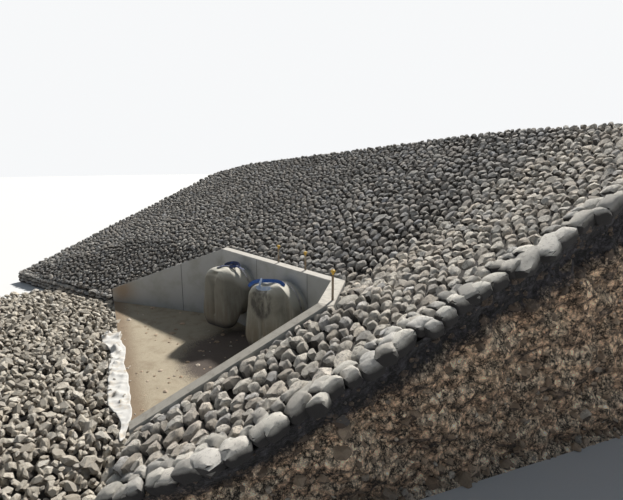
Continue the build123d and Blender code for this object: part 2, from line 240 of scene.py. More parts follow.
def mottling_group():
    """Two colours that drift into each other in patches, with grain and a height."""
    group = bpy.data.node_groups.new("mottling", "ShaderNodeTree")
    for name, kind, direction in (
        ("Main Colour", "NodeSocketColor", "INPUT"),
        ("Patch Colour", "NodeSocketColor", "INPUT"),
        ("Patch Scale", "NodeSocketFloat", "INPUT"),
        ("Patch Share", "NodeSocketFloat", "INPUT"),
        ("Grain Scale", "NodeSocketFloat", "INPUT"),
        ("Grain Depth", "NodeSocketFloat", "INPUT"),
        ("Color", "NodeSocketColor", "OUTPUT"),
        ("Height", "NodeSocketFloat", "OUTPUT"),
    ):
        group.interface.new_socket(name=name, in_out=direction, socket_type=kind)
    given = group.nodes.new("NodeGroupInput").outputs
    result = group.nodes.new("NodeGroupOutput")
    place = place_on(group)
    patches = noise_texture(group, place, given["Patch Scale"], 6, 0.62)
    grain = noise_texture(group, place, given["Grain Scale"], 4, 0.7)
    low = maths(group, "SUBTRACT", 0.86, given["Patch Share"])
    edge = map_range(group, patches, low, maths(group, "ADD", low, 0.28), 0, 1, "SMOOTHSTEP")
    colour = lay_over(group, given["Main Colour"], given["Patch Colour"], edge)
    darkest = maths(group, "MULTIPLY_ADD", given["Grain Depth"], -0.5, 1.0)
    swing = maths(group, "MULTIPLY_ADD", grain, given["Grain Depth"], darkest)
    height = maths(group, "MULTIPLY_ADD", patches, 0.5, grain)
    plug(group, result, {"Color": scaled(group, colour, swing), "Height": height})
    return group


mottling = mottling_group()


def mottle(tree, main, patch, patch_scale, patch_share, grain_scale, grain_depth):
    """A mottling with its own colours and sizes."""
    node = tree.nodes.new("ShaderNodeGroup")
    node.node_tree = mottling
    plug(tree, node, {"Main Colour": main, "Patch Colour": patch})
    plug(tree, node, {"Patch Scale": patch_scale, "Patch Share": patch_share})
    plug(tree, node, {"Grain Scale": grain_scale, "Grain Depth": grain_depth})
    return node


def mottled(
    name, main, patch, patch_scale, patch_share, grain_scale, grain_depth, roughness, bump, bump_reach
):
    """A material that starts from the mottling, with its bump. Gives back what a finish may add to."""
    material = bpy.data.materials.new(name)
    material.use_nodes = True
    tree = material.node_tree
    base = mottle(tree, main, patch, patch_scale, patch_share, grain_scale, grain_depth)
    relief = tree.nodes.new("ShaderNodeBump")
    plug(tree, relief, {"Strength": bump, "Distance": bump_reach, "Height": base.outputs["Height"]})
    finish = tree.nodes["Principled BSDF"]
    plug(tree, finish, {"Roughness": roughness, "Normal": relief.outputs["Normal"]})
    plug(tree, finish, {"Base Color": base.outputs["Color"]})
    return material, tree, base, finish


def crumbs(tree):
    """Crumbs of three sizes, none alike, each of its own tone with painted light on its middle and painted
    shade round its edge, and as a height.
    """
    place = place_on(tree)
    wobble = tree.nodes.new("ShaderNodeTexNoise")
    plug(tree, wobble, {"Vector": place, "Scale": 9, "Detail": 3})
    bent = vector_maths(tree, "MULTIPLY_ADD", {0: wobble.outputs["Color"], 1: (0.1, 0.1, 0.1), 2: place})
    total = None
    for size, share in ((6, 0.36), (15, 0.36), (38, 0.28)):
        crumb = tree.nodes.new("ShaderNodeTexVoronoi")
        plug(tree, crumb, {"Vector": bent, "Scale": size})
        split = tree.nodes.new("ShaderNodeSeparateColor")
        plug(tree, split, {"Color": crumb.outputs["Color"]})
        tone = map_range(tree, split.outputs["Red"], 0, 1, 0.15 * share, share)
        painted_crumb_shading = map_range(tree, crumb.outputs["Distance"], 0.15, 0.65, 1, 0.1)
        lit = maths(tree, "MULTIPLY", tone, painted_crumb_shading)
        total = lit if total is None else maths(tree, "ADD", total, lit)
    return total


soil, tree, base, finish = mottled("rolled_soil", soil_dry, soil_layer, 1.6, 0.42, 30, 1.0, 0.95, 1.0, 0.07)
near_light = painted(tree, "dried")
# The band under the stones is damp soil with the painted shadow of the pitching's edge on it.
damp_and_shade = fade(tree, painted(tree, "below_stones"), 1.15, 1.5, base.outputs["Height"], 0.5)
damp_and_shade = maths(tree, "MULTIPLY", damp_and_shade, lie_up(tree, 0.85, 0.4))
damp_and_shade = maths(tree, "MULTIPLY", damp_and_shade, map_range(tree, near_light, low=0.45))
# Painted light and shade on the cut sides: faces turned up are made paler, as dust and as painted light, and
# faces turned down are made darker as painted shade.
colour = lay_over(tree, base.outputs["Color"], soil_dust_and_light, lie_up(tree, -0.05, 0.55))
colour = lay_over(tree, colour, soil_underside_shade, lie_up(tree, -0.05, -0.45))
colour = lay_over(tree, colour, soil_damp_and_shadow, damp_and_shade)
crumb_height = crumbs(tree)
# The crumbs' tone and their painted light and shade scale the colour, from near black between them to over
# twice as pale on their middles.
colour = scaled(tree, colour, map_range(tree, crumb_height, 0.08, 0.62, 0.03, 2.3))
# Painted light: the shaded near side is made paler, and the lit sides darker.
colour = scaled(tree, colour, map_range(tree, near_light, low=0.60, high=1.25))
plug(tree, finish, {"Base Color": colour})
plug(tree, finish.inputs["Normal"].links[0].from_node, {"Height": crumb_height})


def give(piece, material):
    piece.data.materials.clear()
    piece.data.materials.append(material)


def deselect_all():
    if bpy.context.object and bpy.context.object.mode != "OBJECT":
        bpy.ops.object.mode_set(mode="OBJECT")
    bpy.ops.object.select_all(action="DESELECT")


def work_on(piece):
    deselect_all()
    piece.hide_viewport = piece.hide_render = False
    piece.select_set(True)
    bpy.context.view_layer.objects.active = piece


def edit_mesh():
    bpy.ops.object.mode_set(mode="EDIT")
    bpy.ops.mesh.select_all(action="SELECT")


def leave_mesh():
    bpy.ops.object.mode_set(mode="OBJECT")


def copy_of(name, new_name):
    """A merged copy of a node's mesh, to be worked on."""
    piece = nodes[name].copy()
    piece.data = nodes[name].data.copy()
    piece.name = new_name
    piece.parent = None
    bpy.context.collection.objects.link(piece)
    work_on(piece)
    edit_mesh()
    bpy.ops.mesh.remove_doubles(threshold=0.0005)
    bpy.ops.mesh.normals_make_consistent(inside=False)
    bpy.ops.mesh.select_all(action="DESELECT")
    leave_mesh()
    return piece


def surface_of(names, least_rise=-2):
    """The faces of some nodes that rise at least so much, for measuring on them."""
    corners, triangles, owners = [], [], []
    for name in names:
        mesh = nodes[name].data
        for face in mesh.polygons:
            if face.normal.z > least_rise:
                triangles.append([len(corners) + n for n in range(3)])
                corners += [mesh.vertices[n].co.copy() for n in face.vertices]
                owners.append(name)
    return BVHTree.FromPolygons(corners, triangles), corners, owners


def probe(surface, x, y, from_level=50):
    """Where a plumb line meets a surface: the level, the way it faces there, and the face."""
    hit, normal, face, _ = surface.ray_cast(Vector((x, y, from_level)), Vector((0, 0, -1)))
    return None if hit is None else (hit.z, normal, face)


pitching_names = sorted(name for name in nodes if name.startswith("pitching_"))
pitching_top, top_corners, bay_of_face = surface_of(pitching_names, 0.7)
fill_names = sorted(name for name in nodes if name.startswith("fill_"))
fill_top = surface_of(fill_names, 0.7)[0]
parts = []
cut_runs = []
for name in fill_names:
    others = surface_of([other for other in nodes if other != name])[0]
    neighbours = surface_of([other for other in fill_names if other != name])[0]
    part = copy_of(name, name.replace("fill", "bank"))
    edit_mesh()
    bpy.ops.mesh.dissolve_limited(angle_limit=math.radians(1))
    bpy.ops.mesh.select_mode(type="FACE")
    bpy.ops.mesh.select_all(action="DESELECT")
    leave_mesh()
    for face in part.data.polygons:
        outside = face.center + face.normal * held_off
        upright = abs(face.normal.z) < 0.1
        lies_open = upright and face.area > 0.5 and others.find_nearest(outside)[3] > nearest_open
        face.select = upright and (lies_open or neighbours.find_nearest(outside)[3] < farthest_shared)
        if lies_open:
            corners = [part.data.vertices[n].co.copy() for n in face.vertices]
            ends = [corner.xy for corner in corners if corner.z < 0.01]
            cut_runs.append((name, ends[0], ends[1], face.normal.xy.normalized()))
    bpy.ops.object.mode_set(mode="EDIT")
    bpy.ops.mesh.delete(type="ONLY_FACE")
    bpy.ops.mesh.select_mode(type="VERT")
    leave_mesh()
    parts.append(part)


def smooth_step(value):
    value = min(1, max(0, value))
    return value * value * (3 - 2 * value)


def distance_to_run(x, y, start, end):
    along = end - start
    share = min(1, max(0, (Vector((x, y)) - start).dot(along) / along.length_squared))
    return (Vector((x, y)) - start - along * share).length


def rough_side(start, end, step):
    """The cut side along one run: upright, with clods and hollows up to the cut's roughness deep."""
    columns = max(2, round((end - start).length / step))
    deselect_all()
    bpy.ops.mesh.primitive_grid_add(x_subdivisions=columns, y_subdivisions=cut_rows, size=1)
    side = bpy.context.object
    for vertex in side.data.vertices:
        place = start.lerp(end, vertex.co.x + 0.5)
        inward = Vector((0, 0))
        for _, a, b, normal in cut_runs:
            inward -= normal * math.exp(-distance_to_run(place.x, place.y, a, b) / corner_blend)
        inward.normalize()
        top = probe(fill_top, *(place + inward * edge_inset))
        height = top[0] if top else 0.5
        level = (vertex.co.y + 0.5) * height
        rough = noise.fractal(Vector((place.x, place.y, level)) * 1.5, 0.6, 2.1, 7)
        depth = cut_roughness * min(1, max(0, 0.45 + 0.5 * rough))
        depth *= smooth_step((height - level) / 0.5) * smooth_step(level / 0.12)
        place += inward * depth
        vertex.co = (place.x, place.y, level)
    return side


def below_stones(place):
    """How far a place lies under the pitching, in heights of the dark band there, which widens uphill."""
    nearest, _, _, distance = pitching_top.find_nearest(place)
    return distance / (dark_band_depth + dark_band_growth * nearest.z)


def dried_out(place):
    """1 on the near side, which lies in shade and is painted paler, and 0 on the others, which the lamp
    lights and which are painted darker.
    """
    nearest = min(cut_runs, key=lambda run: distance_to_run(place.x, place.y, run[1], run[2]))
    return float("near" in nearest[0])


def paint(piece, name, values):
    """Stores a value at each corner of a mesh, for its material."""
    piece.data.attributes.new(name, "FLOAT", "POINT").data.foreach_set("value", values)


for owner, start, end, _ in cut_runs:
    parts.append(rough_side(start, end, near_cut_step if "near" in owner else hidden_cut_step))
bank = parts[0]
work_on(bank)
for part in parts:
    part.select_set(True)
bpy.ops.object.join()
bank.name = "bank"
edit_mesh()
bpy.ops.mesh.remove_doubles(threshold=0.002)
bpy.ops.mesh.delete_loose()
bpy.ops.mesh.select_all(action="SELECT")
bpy.ops.mesh.normals_make_consistent(inside=False)
leave_mesh()
bpy.ops.object.shade_smooth_by_angle(angle=math.radians(45))
paint(bank, "below_stones", [below_stones(vertex.co) for vertex in bank.data.vertices])
paint(bank, "dried", [dried_out(vertex.co) for vertex in bank.data.vertices])
give(bank, soil)
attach(bank, "root")
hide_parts(*fill_names)

# Pitching stones: field stone of cream and grey sandstone, 150 to 450 mm, rounded at
# its corners. Each is picked to fit its neighbours, set on its edge in the bedding
# with its long side along the slope, and driven tight, with no mortar.
far_bank_stone = 0.155
near_bank_stone = 0.225
up_slope = np.array((1, 1 / 1.6, 1))
stone_gap = 0.017
stone_rise = 0.108
stone_sink = 0.10
side_stone_sink = 0.22
side_overhang = 0.05
bed_drop = 0.135
sample_step = 0.045
long_stone = 1.6
long_stone_share = 0.03
side_reach = 0.22
side_foot = 0.35
usual_foot = 0.72
# The back of the near wing wall in plan, where the stones are banked up
wing_back = (Vector((4.152, -1.295)), Vector((2.939, -5.263)))
banked_height = 0.26

random.seed(11)
rng = np.random.default_rng(11)


def turned(heading, height):
    """Unit vector from a heading and a height over the level, in degrees."""
    heading, height = math.radians(heading), math.radians(height)
    level = math.cos(height)
    return Vector((math.cos(heading) * level, math.sin(heading) * level, math.sin(height)))


def rough_out(seed, roundness, cuts, nearest, farthest, lowest_cut, foot=None):
    """One stone of about unit radius: a round, knocked uneven, with flat faces broken off it."""
    deselect_all()
    bpy.ops.mesh.primitive_ico_sphere_add(subdivisions=roundness, radius=1)
    stone = bpy.context.object
    edit_mesh()
    bpy.ops.transform.vertex_random(offset=0.2 / roundness, seed=seed)
    pick = random.Random(seed)
    planes = []
    for _ in range(cuts):
        normal = turned(pick.uniform(0, 360), pick.uniform(lowest_cut, 80))
        planes.append((normal * pick.uniform(nearest, farthest), normal))
    if foot:
        planes.append(((0, 0, foot), (0, 0, -1)))
    for place, normal in planes:
        bpy.ops.mesh.select_all(action="SELECT")
        bpy.ops.mesh.bisect(plane_co=place, plane_no=normal, use_fill=True, clear_outer=True)
    bpy.ops.mesh.select_all(action="SELECT")
    bpy.ops.mesh.quads_convert_to_tris()
    bpy.ops.mesh.normals_make_consistent(inside=False)
    leave_mesh()
    points = np.array([tuple(vertex.co) for vertex in stone.data.vertices])
    faces = np.array([tuple(face.vertices) for face in stone.data.polygons])
    bpy.data.objects.remove(stone)
    return points, faces


field_stones = [rough_out(n, 2, 8, 0.64, 0.88, 5, -0.2) for n in range(12)]
small_stones = [rough_out(20 + n, 1, 6, 0.66, 0.86, 10, -0.3) for n in range(10)]


def outline_runs(corners):
    """The straight runs of the outline round all the bays, and which of them lie open."""
    sides = {}
    for n in range(0, len(corners), 3):
        for a, b in ((0, 1), (1, 2), (2, 0)):
            ends = [tuple(round(c, 3) for c in corners[n + k]) for k in (a, b)]
            sides.setdefault(tuple(sorted(ends)), []).append(n)
    runs = np.array([ends for ends, faces in sides.items() if len(faces) == 1])
    walls = surface_of(["headwall", "far_wing_wall", "near_wing_wall", "corner_wall", "corner_landing"])[0]
    open_runs = np.array([walls.find_nearest(run.mean(axis=0))[3] > 0.15 for run in runs])
    return runs, open_runs


def spread_samples(surface, corners, step):
    """Points all over a surface."""
    xs = [corner.x for corner in corners]
    ys = [corner.y for corner in corners]
    found = []
    for x in np.arange(min(xs), max(xs), step):
        for y in np.arange(min(ys), max(ys), step):
            px = x + random.uniform(0, step)
            py = y + random.uniform(0, step)
            there = probe(surface, px, py)
            if there:
                found.append((px, py, there[0]))
    return np.array(found)


def drop_seeds(samples, usual_size, spread, largest, measure=np.ones(3)):
    """Picks stone centres at random, big stones and small, none too near another."""
    seeds, sizes, grid = [], [], {}
    for n in rng.permutation(len(samples)):
        size = usual_size(*samples[n][:2]) * math.exp(random.gauss(0, spread))
        size *= long_stone if random.random() < long_stone_share else 1
        x, y, z = samples[n] * measure
        size = min(size, largest)
        cell = (int(x // largest), int(y // largest))
        near = [k for i in (-1, 0, 1) for j in (-1, 0, 1) for k in grid.get((cell[0] + i, cell[1] + j), ())]
        if all(math.dist((x, y, z), seeds[k]) > 0.43 * (size + sizes[k]) for k in near):
            grid.setdefault(cell, []).append(len(seeds))
            seeds.append((x, y, z))
            sizes.append(size)
    return np.array(seeds) / measure, np.array(sizes)


def place_tree(points):
    tree = kdtree.KDTree(len(points))
    for n, point in enumerate(points):
        tree.insert(point, n)
    tree.balance()
    return tree


def settle(samples, seeds, sizes, rounds):
    """Moves each centre to the middle of the ground that is nearest to it."""
    for _ in range(rounds):
        tree = place_tree(seeds * up_slope)
        near = np.array([[hit[1] for hit in tree.find_n(sample, 8)] for sample in samples * up_slope])
        offset = (samples[:, None] - seeds[near]) * up_slope
        distance = (offset**2).sum(axis=2) - (0.5 * sizes[near]) ** 2
        owner = near[np.arange(len(samples)), distance.argmin(axis=1)]
        count = np.bincount(owner, minlength=len(seeds))
        for axis in range(3):
            total = np.bincount(owner, weights=samples[:, axis], minlength=len(seeds))
            seeds[:, axis] = np.where(count == 0, seeds[:, axis], total / np.maximum(count, 1))
    return seeds


def near_share(x, y):
    """From 0 on the far bank to 1 on the near one."""
    return smooth_step((x + 5) / 9)


def cream_share(x, y):
    """From 0 on the far bank, whose stone is painted greyer and darker as shade and weathering, to 1 past
    the corner.
    """
    return smooth_step((x - 2.0 - 0.3 * y) / 1.6)


def usual_field_stone(x, y):
    """Larger stones were kept for the near bank."""
    return far_bank_stone + (near_bank_stone - far_bank_stone) * near_share(x, y)


def outline_feet(place, outline, reach):
    """The nearest point on each run of the outline close by, one for each direction."""
    runs, open_runs = outline
    start, along = runs[:, 0], runs[:, 1] - runs[:, 0]
    share = ((place - start) * along).sum(axis=1) / (along**2).sum(axis=1)
    offset = start + along * share.clip(0, 1)[:, None] - place
    distance = np.linalg.norm(offset, axis=1)
    kept = []
    for n in distance.argsort()[:12]:
        unit = offset[n] / max(distance[n], 1e-6)
        if distance[n] < reach and all(unit @ (other / np.linalg.norm(other)) < 0.8 for other in kept):
            kept.append(offset[n] + unit * side_overhang * open_runs[n])
    return kept


def banked_up(x, y):
    """How much higher the stones are set against the back of the near wing wall."""
    return banked_height * smooth_step((1.4 - distance_to_run(x, y, *wing_back)) / 1.1)


def fit_stone(pattern, middle, axes, q, room, rise, sink, gap, foot=usual_foot):
    """Fits a copy of a rough stone into the room round its middle."""
    points, faces = pattern
    spun = np.arctan2(points[:, 1], points[:, 0]) + random.uniform(0, math.tau)
    toward = np.stack([np.cos(spun), np.sin(spun)], axis=1)
    tightness = np.maximum(toward @ q.T, 0) * 2 / room
    reach = (tightness**6).sum(axis=1) ** (-1 / 6) - gap
    fullness = np.hypot(points[:, 0], points[:, 1]) ** np.where(points[:, 2] > 0, 0.82, foot)
    flat = toward * (reach * fullness)[:, None]
    tilt = (random.gauss(0, 0.10), random.gauss(0, 0.10))
    lift = points[:, 2] * np.where(points[:, 2] > 0, rise, -sink / points[:, 2].min()) + flat @ tilt - rise
    return middle + flat @ axes[:2] + lift[:, None] * axes[2], faces


def shape_stones(seeds, sizes, surface, outline, patterns):
    """A stone for each centre, as wide as its neighbours and the outline let it be."""
    tree = place_tree(seeds * up_slope)
    stones = {}
    for place, size in zip(seeds, sizes):
        there = probe(surface, place[0], place[1])
        if not there:
            continue
        z, normal, face = there
        contour = Vector((-normal.y, normal.x, 0)).normalized()
        axes = np.array([contour, normal.cross(contour), normal])
        near = [hit[1] for hit in tree.find_n(place * up_slope, 17)[1:]]
        offset = (seeds[near] - place) * up_slope
        weight = (0.5 * size) ** 2 - (0.5 * sizes[near]) ** 2
        square = (offset**2).sum(axis=1)
        room = np.maximum(square + weight, 0.25 * square)
        q = (offset * up_slope) @ axes[:2].T
        feet = outline_feet(place, outline, 0.42)
        if feet:
            to_outline = 2 * np.array(feet)
            q = np.vstack([q, to_outline @ axes[:2].T])
            room = np.append(room, (to_outline**2).sum(axis=1))
        at_side = any(np.linalg.norm(foot) < side_reach for foot in feet)
        sink = side_stone_sink if at_side else stone_sink
        rise = stone_rise * min(1.3, (size / 0.22) ** 0.6)
        z += banked_up(place[0], place[1])
        middle = np.array((place[0], place[1], z)) + normal * np.float64(random.uniform(-0.03, 0.006))
        gap = stone_gap * random.uniform(0.3, 1.4)
        pattern = random.choice(patterns[int(near_share(*place[:2]) > 0.4)])
        foot = side_foot if at_side else usual_foot
        placed, faces = fit_stone(pattern, middle, axes, q, room, rise, sink, gap, foot)
        tone = (random.random(), random.random(), cream_share(*place[:2]))
        stones.setdefault(face, []).append((placed, faces, tone))
    return stones


def join_stones(name, stones, material, sharp_angle):
    """One mesh of many stones, each with its own tone for the stone's colours."""
    points, faces, tones, first = [], [], [], 0
    for placed, cut_faces, tone in stones:
        points.append(placed)
        faces.append(cut_faces + first)
        tones.append(np.tile((*tone, 1.0), (len(placed), 1)))
        first += len(placed)
    mesh = bpy.data.meshes.new(name)
    points = np.vstack(points).clip(np.array(cad_box[0]) + 0.001, np.array(cad_box[1]) - 0.001)
    mesh.from_pydata(points.tolist(), [], np.vstack(faces).tolist())
    shade = mesh.attributes.new("stone_tone", "FLOAT_COLOR", "POINT")
    shade.data.foreach_set("color", np.vstack(tones).ravel())
    piece = bpy.data.objects.new(name, mesh)
    bpy.context.collection.objects.link(piece)
    piece.data.materials.append(material)
    work_on(piece)
    bpy.ops.object.shade_smooth_by_angle(angle=math.radians(sharp_angle))
    return piece


def toned_stone(name, colours, patch, patch_share, weathering_and_shade, dirt_and_shade, least, most):
    """Stone whose colour goes from piece to piece through a row of colours, tinted by weathering and painted
    shade, with soil and painted shade on its sides.
    """
    material, tree, base, finish = mottled(
        name, colours[0], patch, 19, patch_share, 110, 0.8, 0.9, 1.0, 0.034
    )
    split = tree.nodes.new("ShaderNodeSeparateColor")
    plug(tree, split, {"Color": painted(tree, "stone_tone", "Color")})
    ramp = tree.nodes.new("ShaderNodeValToRGB")
    stops = ramp.color_ramp.elements
    last = len(colours) - 1
    for n, colour in enumerate(colours):
        stop = stops[0] if n == 0 else stops[-1] if n == last else stops.new(n / last)
        stop.color = (*colour, 1)
    plug(tree, ramp, {"Fac": split.outputs["Red"]})
    brightness = map_range(tree, split.outputs["Green"], low=0.60, high=1.2)
    weathered_and_shaded = lay_over(tree, weathering_and_shade, (1, 1, 1), split.outputs["Blue"])
    toned = scaled(tree, ramp.outputs["Color"], brightness)
    plug(tree, base, {"Main Colour": vector_maths(tree, "MULTIPLY", {0: toned, 1: weathered_and_shaded})})
    # Sides and undersides take a dark colour that is soil and painted shade.
    soiled_and_shaded = lay_over(tree, dirt_and_shade, base.outputs["Color"], lie_up(tree, least, most))
    plug(tree, finish, {"Base Color": soiled_and_shaded})
    return material


stone_colours = [
    (0.70, 0.67, 0.61),
    (0.84, 0.77, 0.66),
    (0.90, 0.84, 0.73),
    (0.74, 0.66, 0.56),
    (0.84, 0.74, 0.61),
    (0.72, 0.70, 0.67),
]
# The far bank's stone is tinted darker and bluer, as weathering and as painted shade.
far_bank_shade_and_weathering = (0.60, 0.62, 0.66)
joint_dirt_and_shade = (0.050, 0.044, 0.038)
field_stone = toned_stone(
    "field_stone", stone_colours, (0.36, 0.32, 0.28), 0.42, far_bank_shade_and_weathering, joint_dirt_and_shade, -0.25, 0.3
)
pitching_outline = outline_runs(top_corners)
samples = spread_samples(pitching_top, top_corners, sample_step)
seeds, sizes = drop_seeds(samples, usual_field_stone, 0.24, 0.46, up_slope)
seeds = settle(samples, seeds, sizes, 2)
shaped = shape_stones(seeds, sizes, pitching_top, pitching_outline, (small_stones, field_stones))
bays = {}
for face, stones in shaped.items():
    bays.setdefault(bay_of_face[face], []).extend(stones)
for name, stones in bays.items():
    bay = join_stones(name.replace("pitching", "stones"), stones, field_stone, 27)
    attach(bay, "root")
    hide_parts(name)

# Bedding: gravel and soil that the stones are set in. It fills the joints to about
# 130 mm below the tops, where it is damp and dark.
bedding_colour = (0.045, 0.038, 0.033)
bedding_patch = (0.028, 0.024, 0.021)
bed_inset = 0.2
# The drop is square to the slopes of 1 in 2, and this makes it upright
slope_lengthens = 1.118
bedding_soil = mottled("bedding", bedding_colour, bedding_patch, 3, 0.5, 40, 1.0, 0.95, 1.0, 0.03)[0]


def run_ways(start, end, middle):
    """In plan, the way along a run and the way across it toward a middle."""
    along = (end - start).xy.normalized()
    inward = Vector((along.y, -along.x))
    return along, inward * (-1 if inward.dot(middle - start.xy) < 0 else 1)


def draw_in(piece, runs, inset, surface):
    """Moves a piece's corners inward along the surface, from the open runs that they lie on."""
    middle = sum((vertex.co.xy for vertex in piece.data.vertices), Vector((0, 0))) / len(piece.data.vertices)
    for vertex in piece.data.vertices:
        ways = []
        for run in runs:
            start, end = Vector(run[0]).xy, Vector(run[1]).xy
            if distance_to_run(*vertex.co.xy, start, end) < 0.02:
                inward = run_ways(start, end, middle)[1]
                if all(inward.dot(other) < 0.8 for other in ways):
                    ways.append(inward)
        if ways:
            way = sum(ways, Vector((0, 0)))
            before = probe(surface, *(vertex.co.xy + way * 0.01))
            after = probe(surface, *(vertex.co.xy + way * inset))
            vertex.co.xy += way * inset
            vertex.co.z += after[0] - before[0] if before and after else 0


def lower_top(piece, drop):
    """Sets the upper faces of a piece lower."""
    for face in piece.data.polygons:
        face.select = face.normal.z > 0.7
    bpy.ops.object.mode_set(mode="EDIT")
    bpy.ops.transform.translate(value=(0, 0, -drop))
    leave_mesh()


for name in pitching_names:
    bed = copy_of(name, name.replace("pitching", "bedding"))
    lower_top(bed, bed_drop * slope_lengthens)
    draw_in(bed, pitching_outline[0][pitching_outline[1]], bed_inset, pitching_top)
    give(bed, bedding_soil)
    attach(bed, "root")

# Courses of stone at the ends of the pitching: four close the far toe, laid dry on
# the ground. At the back and the far end one lies in the soil under the last row.
toe_courses = (0.10, 0.27, 0.44, 0.60)
course_drop = 0.27
course_rough = [rough_out(60 + n, 2, 7, 0.66, 0.88, -50) for n in range(8)]
course_middle = Vector(samples.mean(axis=0)).xy
toe_stones = []
for run, lies_open in zip(*pitching_outline):
    middle_x, middle_y, _ = run.mean(axis=0)
    at_toe = run[:, 2].max() < 0.8 and run[:, 0].max() < -6.9
    if not lies_open or not (at_toe or middle_x < 2.5 or middle_y > 6):
        continue
    start, end = Vector(run[0]), Vector(run[1])
    along, inward = run_ways(start, end, course_middle)
    for level in toe_courses if at_toe else (None,):
        walked = random.uniform(0, 0.1)
        while walked < (end - start).length:
            place = start.lerp(end, walked / (end - start).length)
            half = [random.uniform(*limits) for limits in ((0.11, 0.19), (0.11, 0.14), (0.10, 0.125))]
            walked += half[0] * 1.7
            height = place.z - course_drop if level is None else level
            if height > place.z - 0.1:
                continue
            points, faces = random.choice(course_rough)
            turn = Matrix.Rotation(-math.atan2(along.y, along.x) + random.gauss(0, 0.2), 3, "Z")
            offset = -inward * random.uniform(-0.04, 0.01)
            height = max(half[2], height + random.uniform(-0.03, 0.03))
            placed = (points * half) @ np.array(turn) + (place.x + offset.x, place.y + offset.y, height)
            toe_stones.append((placed, faces, (random.random(), random.random(), 0.1)))
toe = join_stones("toe_stones", toe_stones, field_stone, 27)
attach(toe, "root")

# Edge stones: long slabs and mid-size boulders picked out for the near edge of the
# pitching, where they end the rows and hang a little over the cut side of the bank.
edge_rough = [rough_out(40 + n, 3, 4, 0.84, 0.97, 30, -0.85) for n in range(8)]
edge_colours = [(0.82, 0.77, 0.69), (0.92, 0.87, 0.77), (0.74, 0.71, 0.66), (0.88, 0.81, 0.70)]
edge_patch = (0.44, 0.40, 0.35)
edge_dirt_and_shade = (0.030, 0.027, 0.027)
edge_overhang = 0.03
edge_underlap = 0.02
outer_lengths = (0.36, 0.70)
inner_lengths = (0.22, 0.38)
edge_sink = 0.20
edge_gap = 0.008
edge_stone_finish = toned_stone(
    "edge_stone", edge_colours, edge_patch, 0.36, (1, 1, 1), edge_dirt_and_shade, 0.05, 0.5
)
bank_middle = Vector((4.0, 1.0, 3.0))


def loose_solids(name):
    """For each solid of a node its corners, and the way that its largest upper face looks."""
    copy_of(name, "guide")
    edit_mesh()
    bpy.ops.mesh.separate(type="LOOSE")
    leave_mesh()
    measured = []
    for solid in list(bpy.context.selected_objects):
        corners = np.array([tuple(vertex.co) for vertex in solid.data.vertices])
        top = max(solid.data.polygons, key=lambda face: face.normal.z * face.area)
        measured.append((corners, top.normal.copy()))
        bpy.data.objects.remove(solid)
    return measured


slabs = []
for corners, normal in loose_solids("edge_stones"):
    middle = Vector((corners.max(axis=0) + corners.min(axis=0)) / 2)
    spread = corners - corners.mean(axis=0)
    along = Vector(np.linalg.svd(spread - np.outer(spread @ normal, normal))[2][0])
    if normal.cross(along).dot(bank_middle - middle) > 0:
        along = -along
    axes = np.array([along, normal.cross(along), normal])
    half = np.abs((corners - np.array(middle)) @ axes.T).max(axis=0)
    parting = half[1] - half[1] * random.uniform(0.8, 1.25)
    rows = [
        (parting, half[1] + edge_overhang, outer_lengths),
        (-half[1] - edge_underlap, parting, inner_lengths),
    ]
    for inner, outer, lengths in rows:
        count = max(1, round(2 * half[0] / random.uniform(*lengths)))
        cuts = np.linspace(-half[0], half[0], count + 1)
        cuts[1:-1] += [random.uniform(-0.06, 0.06) for _ in cuts[1:-1]]
        for start, end in zip(cuts, cuts[1:]):
            length, width = (end - start) / 2, (outer - inner) / 2
            height = random.uniform(0.09, 0.135)
            q = 2 * np.array([(length, 0), (-length, 0), (0, width), (0, -width)])
            room = (q**2).sum(axis=1) * random.uniform(1.0, 1.08)
            level = half[2] + random.uniform(-0.10, -0.01)
            across = (inner + outer) / 2 + random.uniform(-0.03, 0.03)
            top_middle = np.array(middle) + axes.T @ ((start + end) / 2, across, level)
            pattern = random.choice(edge_rough)
            placed, faces = fit_stone(pattern, top_middle, axes, q, room, height, edge_sink, edge_gap)
            slabs.append((placed, faces, (random.random(), random.random(), random.uniform(0.4, 1))))
edge_row = join_stones("edge_boulders", slabs, edge_stone_finish, 30)
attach(edge_row, "root")
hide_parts("edge_stones")

# Clods: lumps of the same soil, with some gravel and small stones, that have fallen
# from the cut sides and cling to them. Near the stones they are damp and painted dark as shadow.
clod_rough = [rough_out(120 + n, 1, 4, 0.60, 0.85, -60) for n in range(8)]
clod_colours = [
    (0.58, 0.42, 0.29),
    (0.74, 0.57, 0.41),
    (0.44, 0.31, 0.21),
    (0.66, 0.50, 0.36),
    (0.88, 0.82, 0.72),
]
clod_patch = (0.40, 0.29, 0.20)
clod_damp_and_shade = (0.12, 0.13, 0.16)
clod_dirt_and_shade = (0.12, 0.09, 0.07)
near_clods_per_metre = 160
other_clods_per_metre = 40
usual_clod = 0.046
largest_clod = 0.22
clod_soil = toned_stone("clod_soil", clod_colours, clod_patch, 0.40, clod_damp_and_shade, clod_dirt_and_shade, -0.4, 0.35)


def free_angle():
    """A turn that leaves any side up."""
    heading = Matrix.Rotation(random.uniform(0, math.tau), 3, "Z")
    return np.array(heading @ Matrix.Rotation(random.uniform(0, math.pi), 3, "X"))


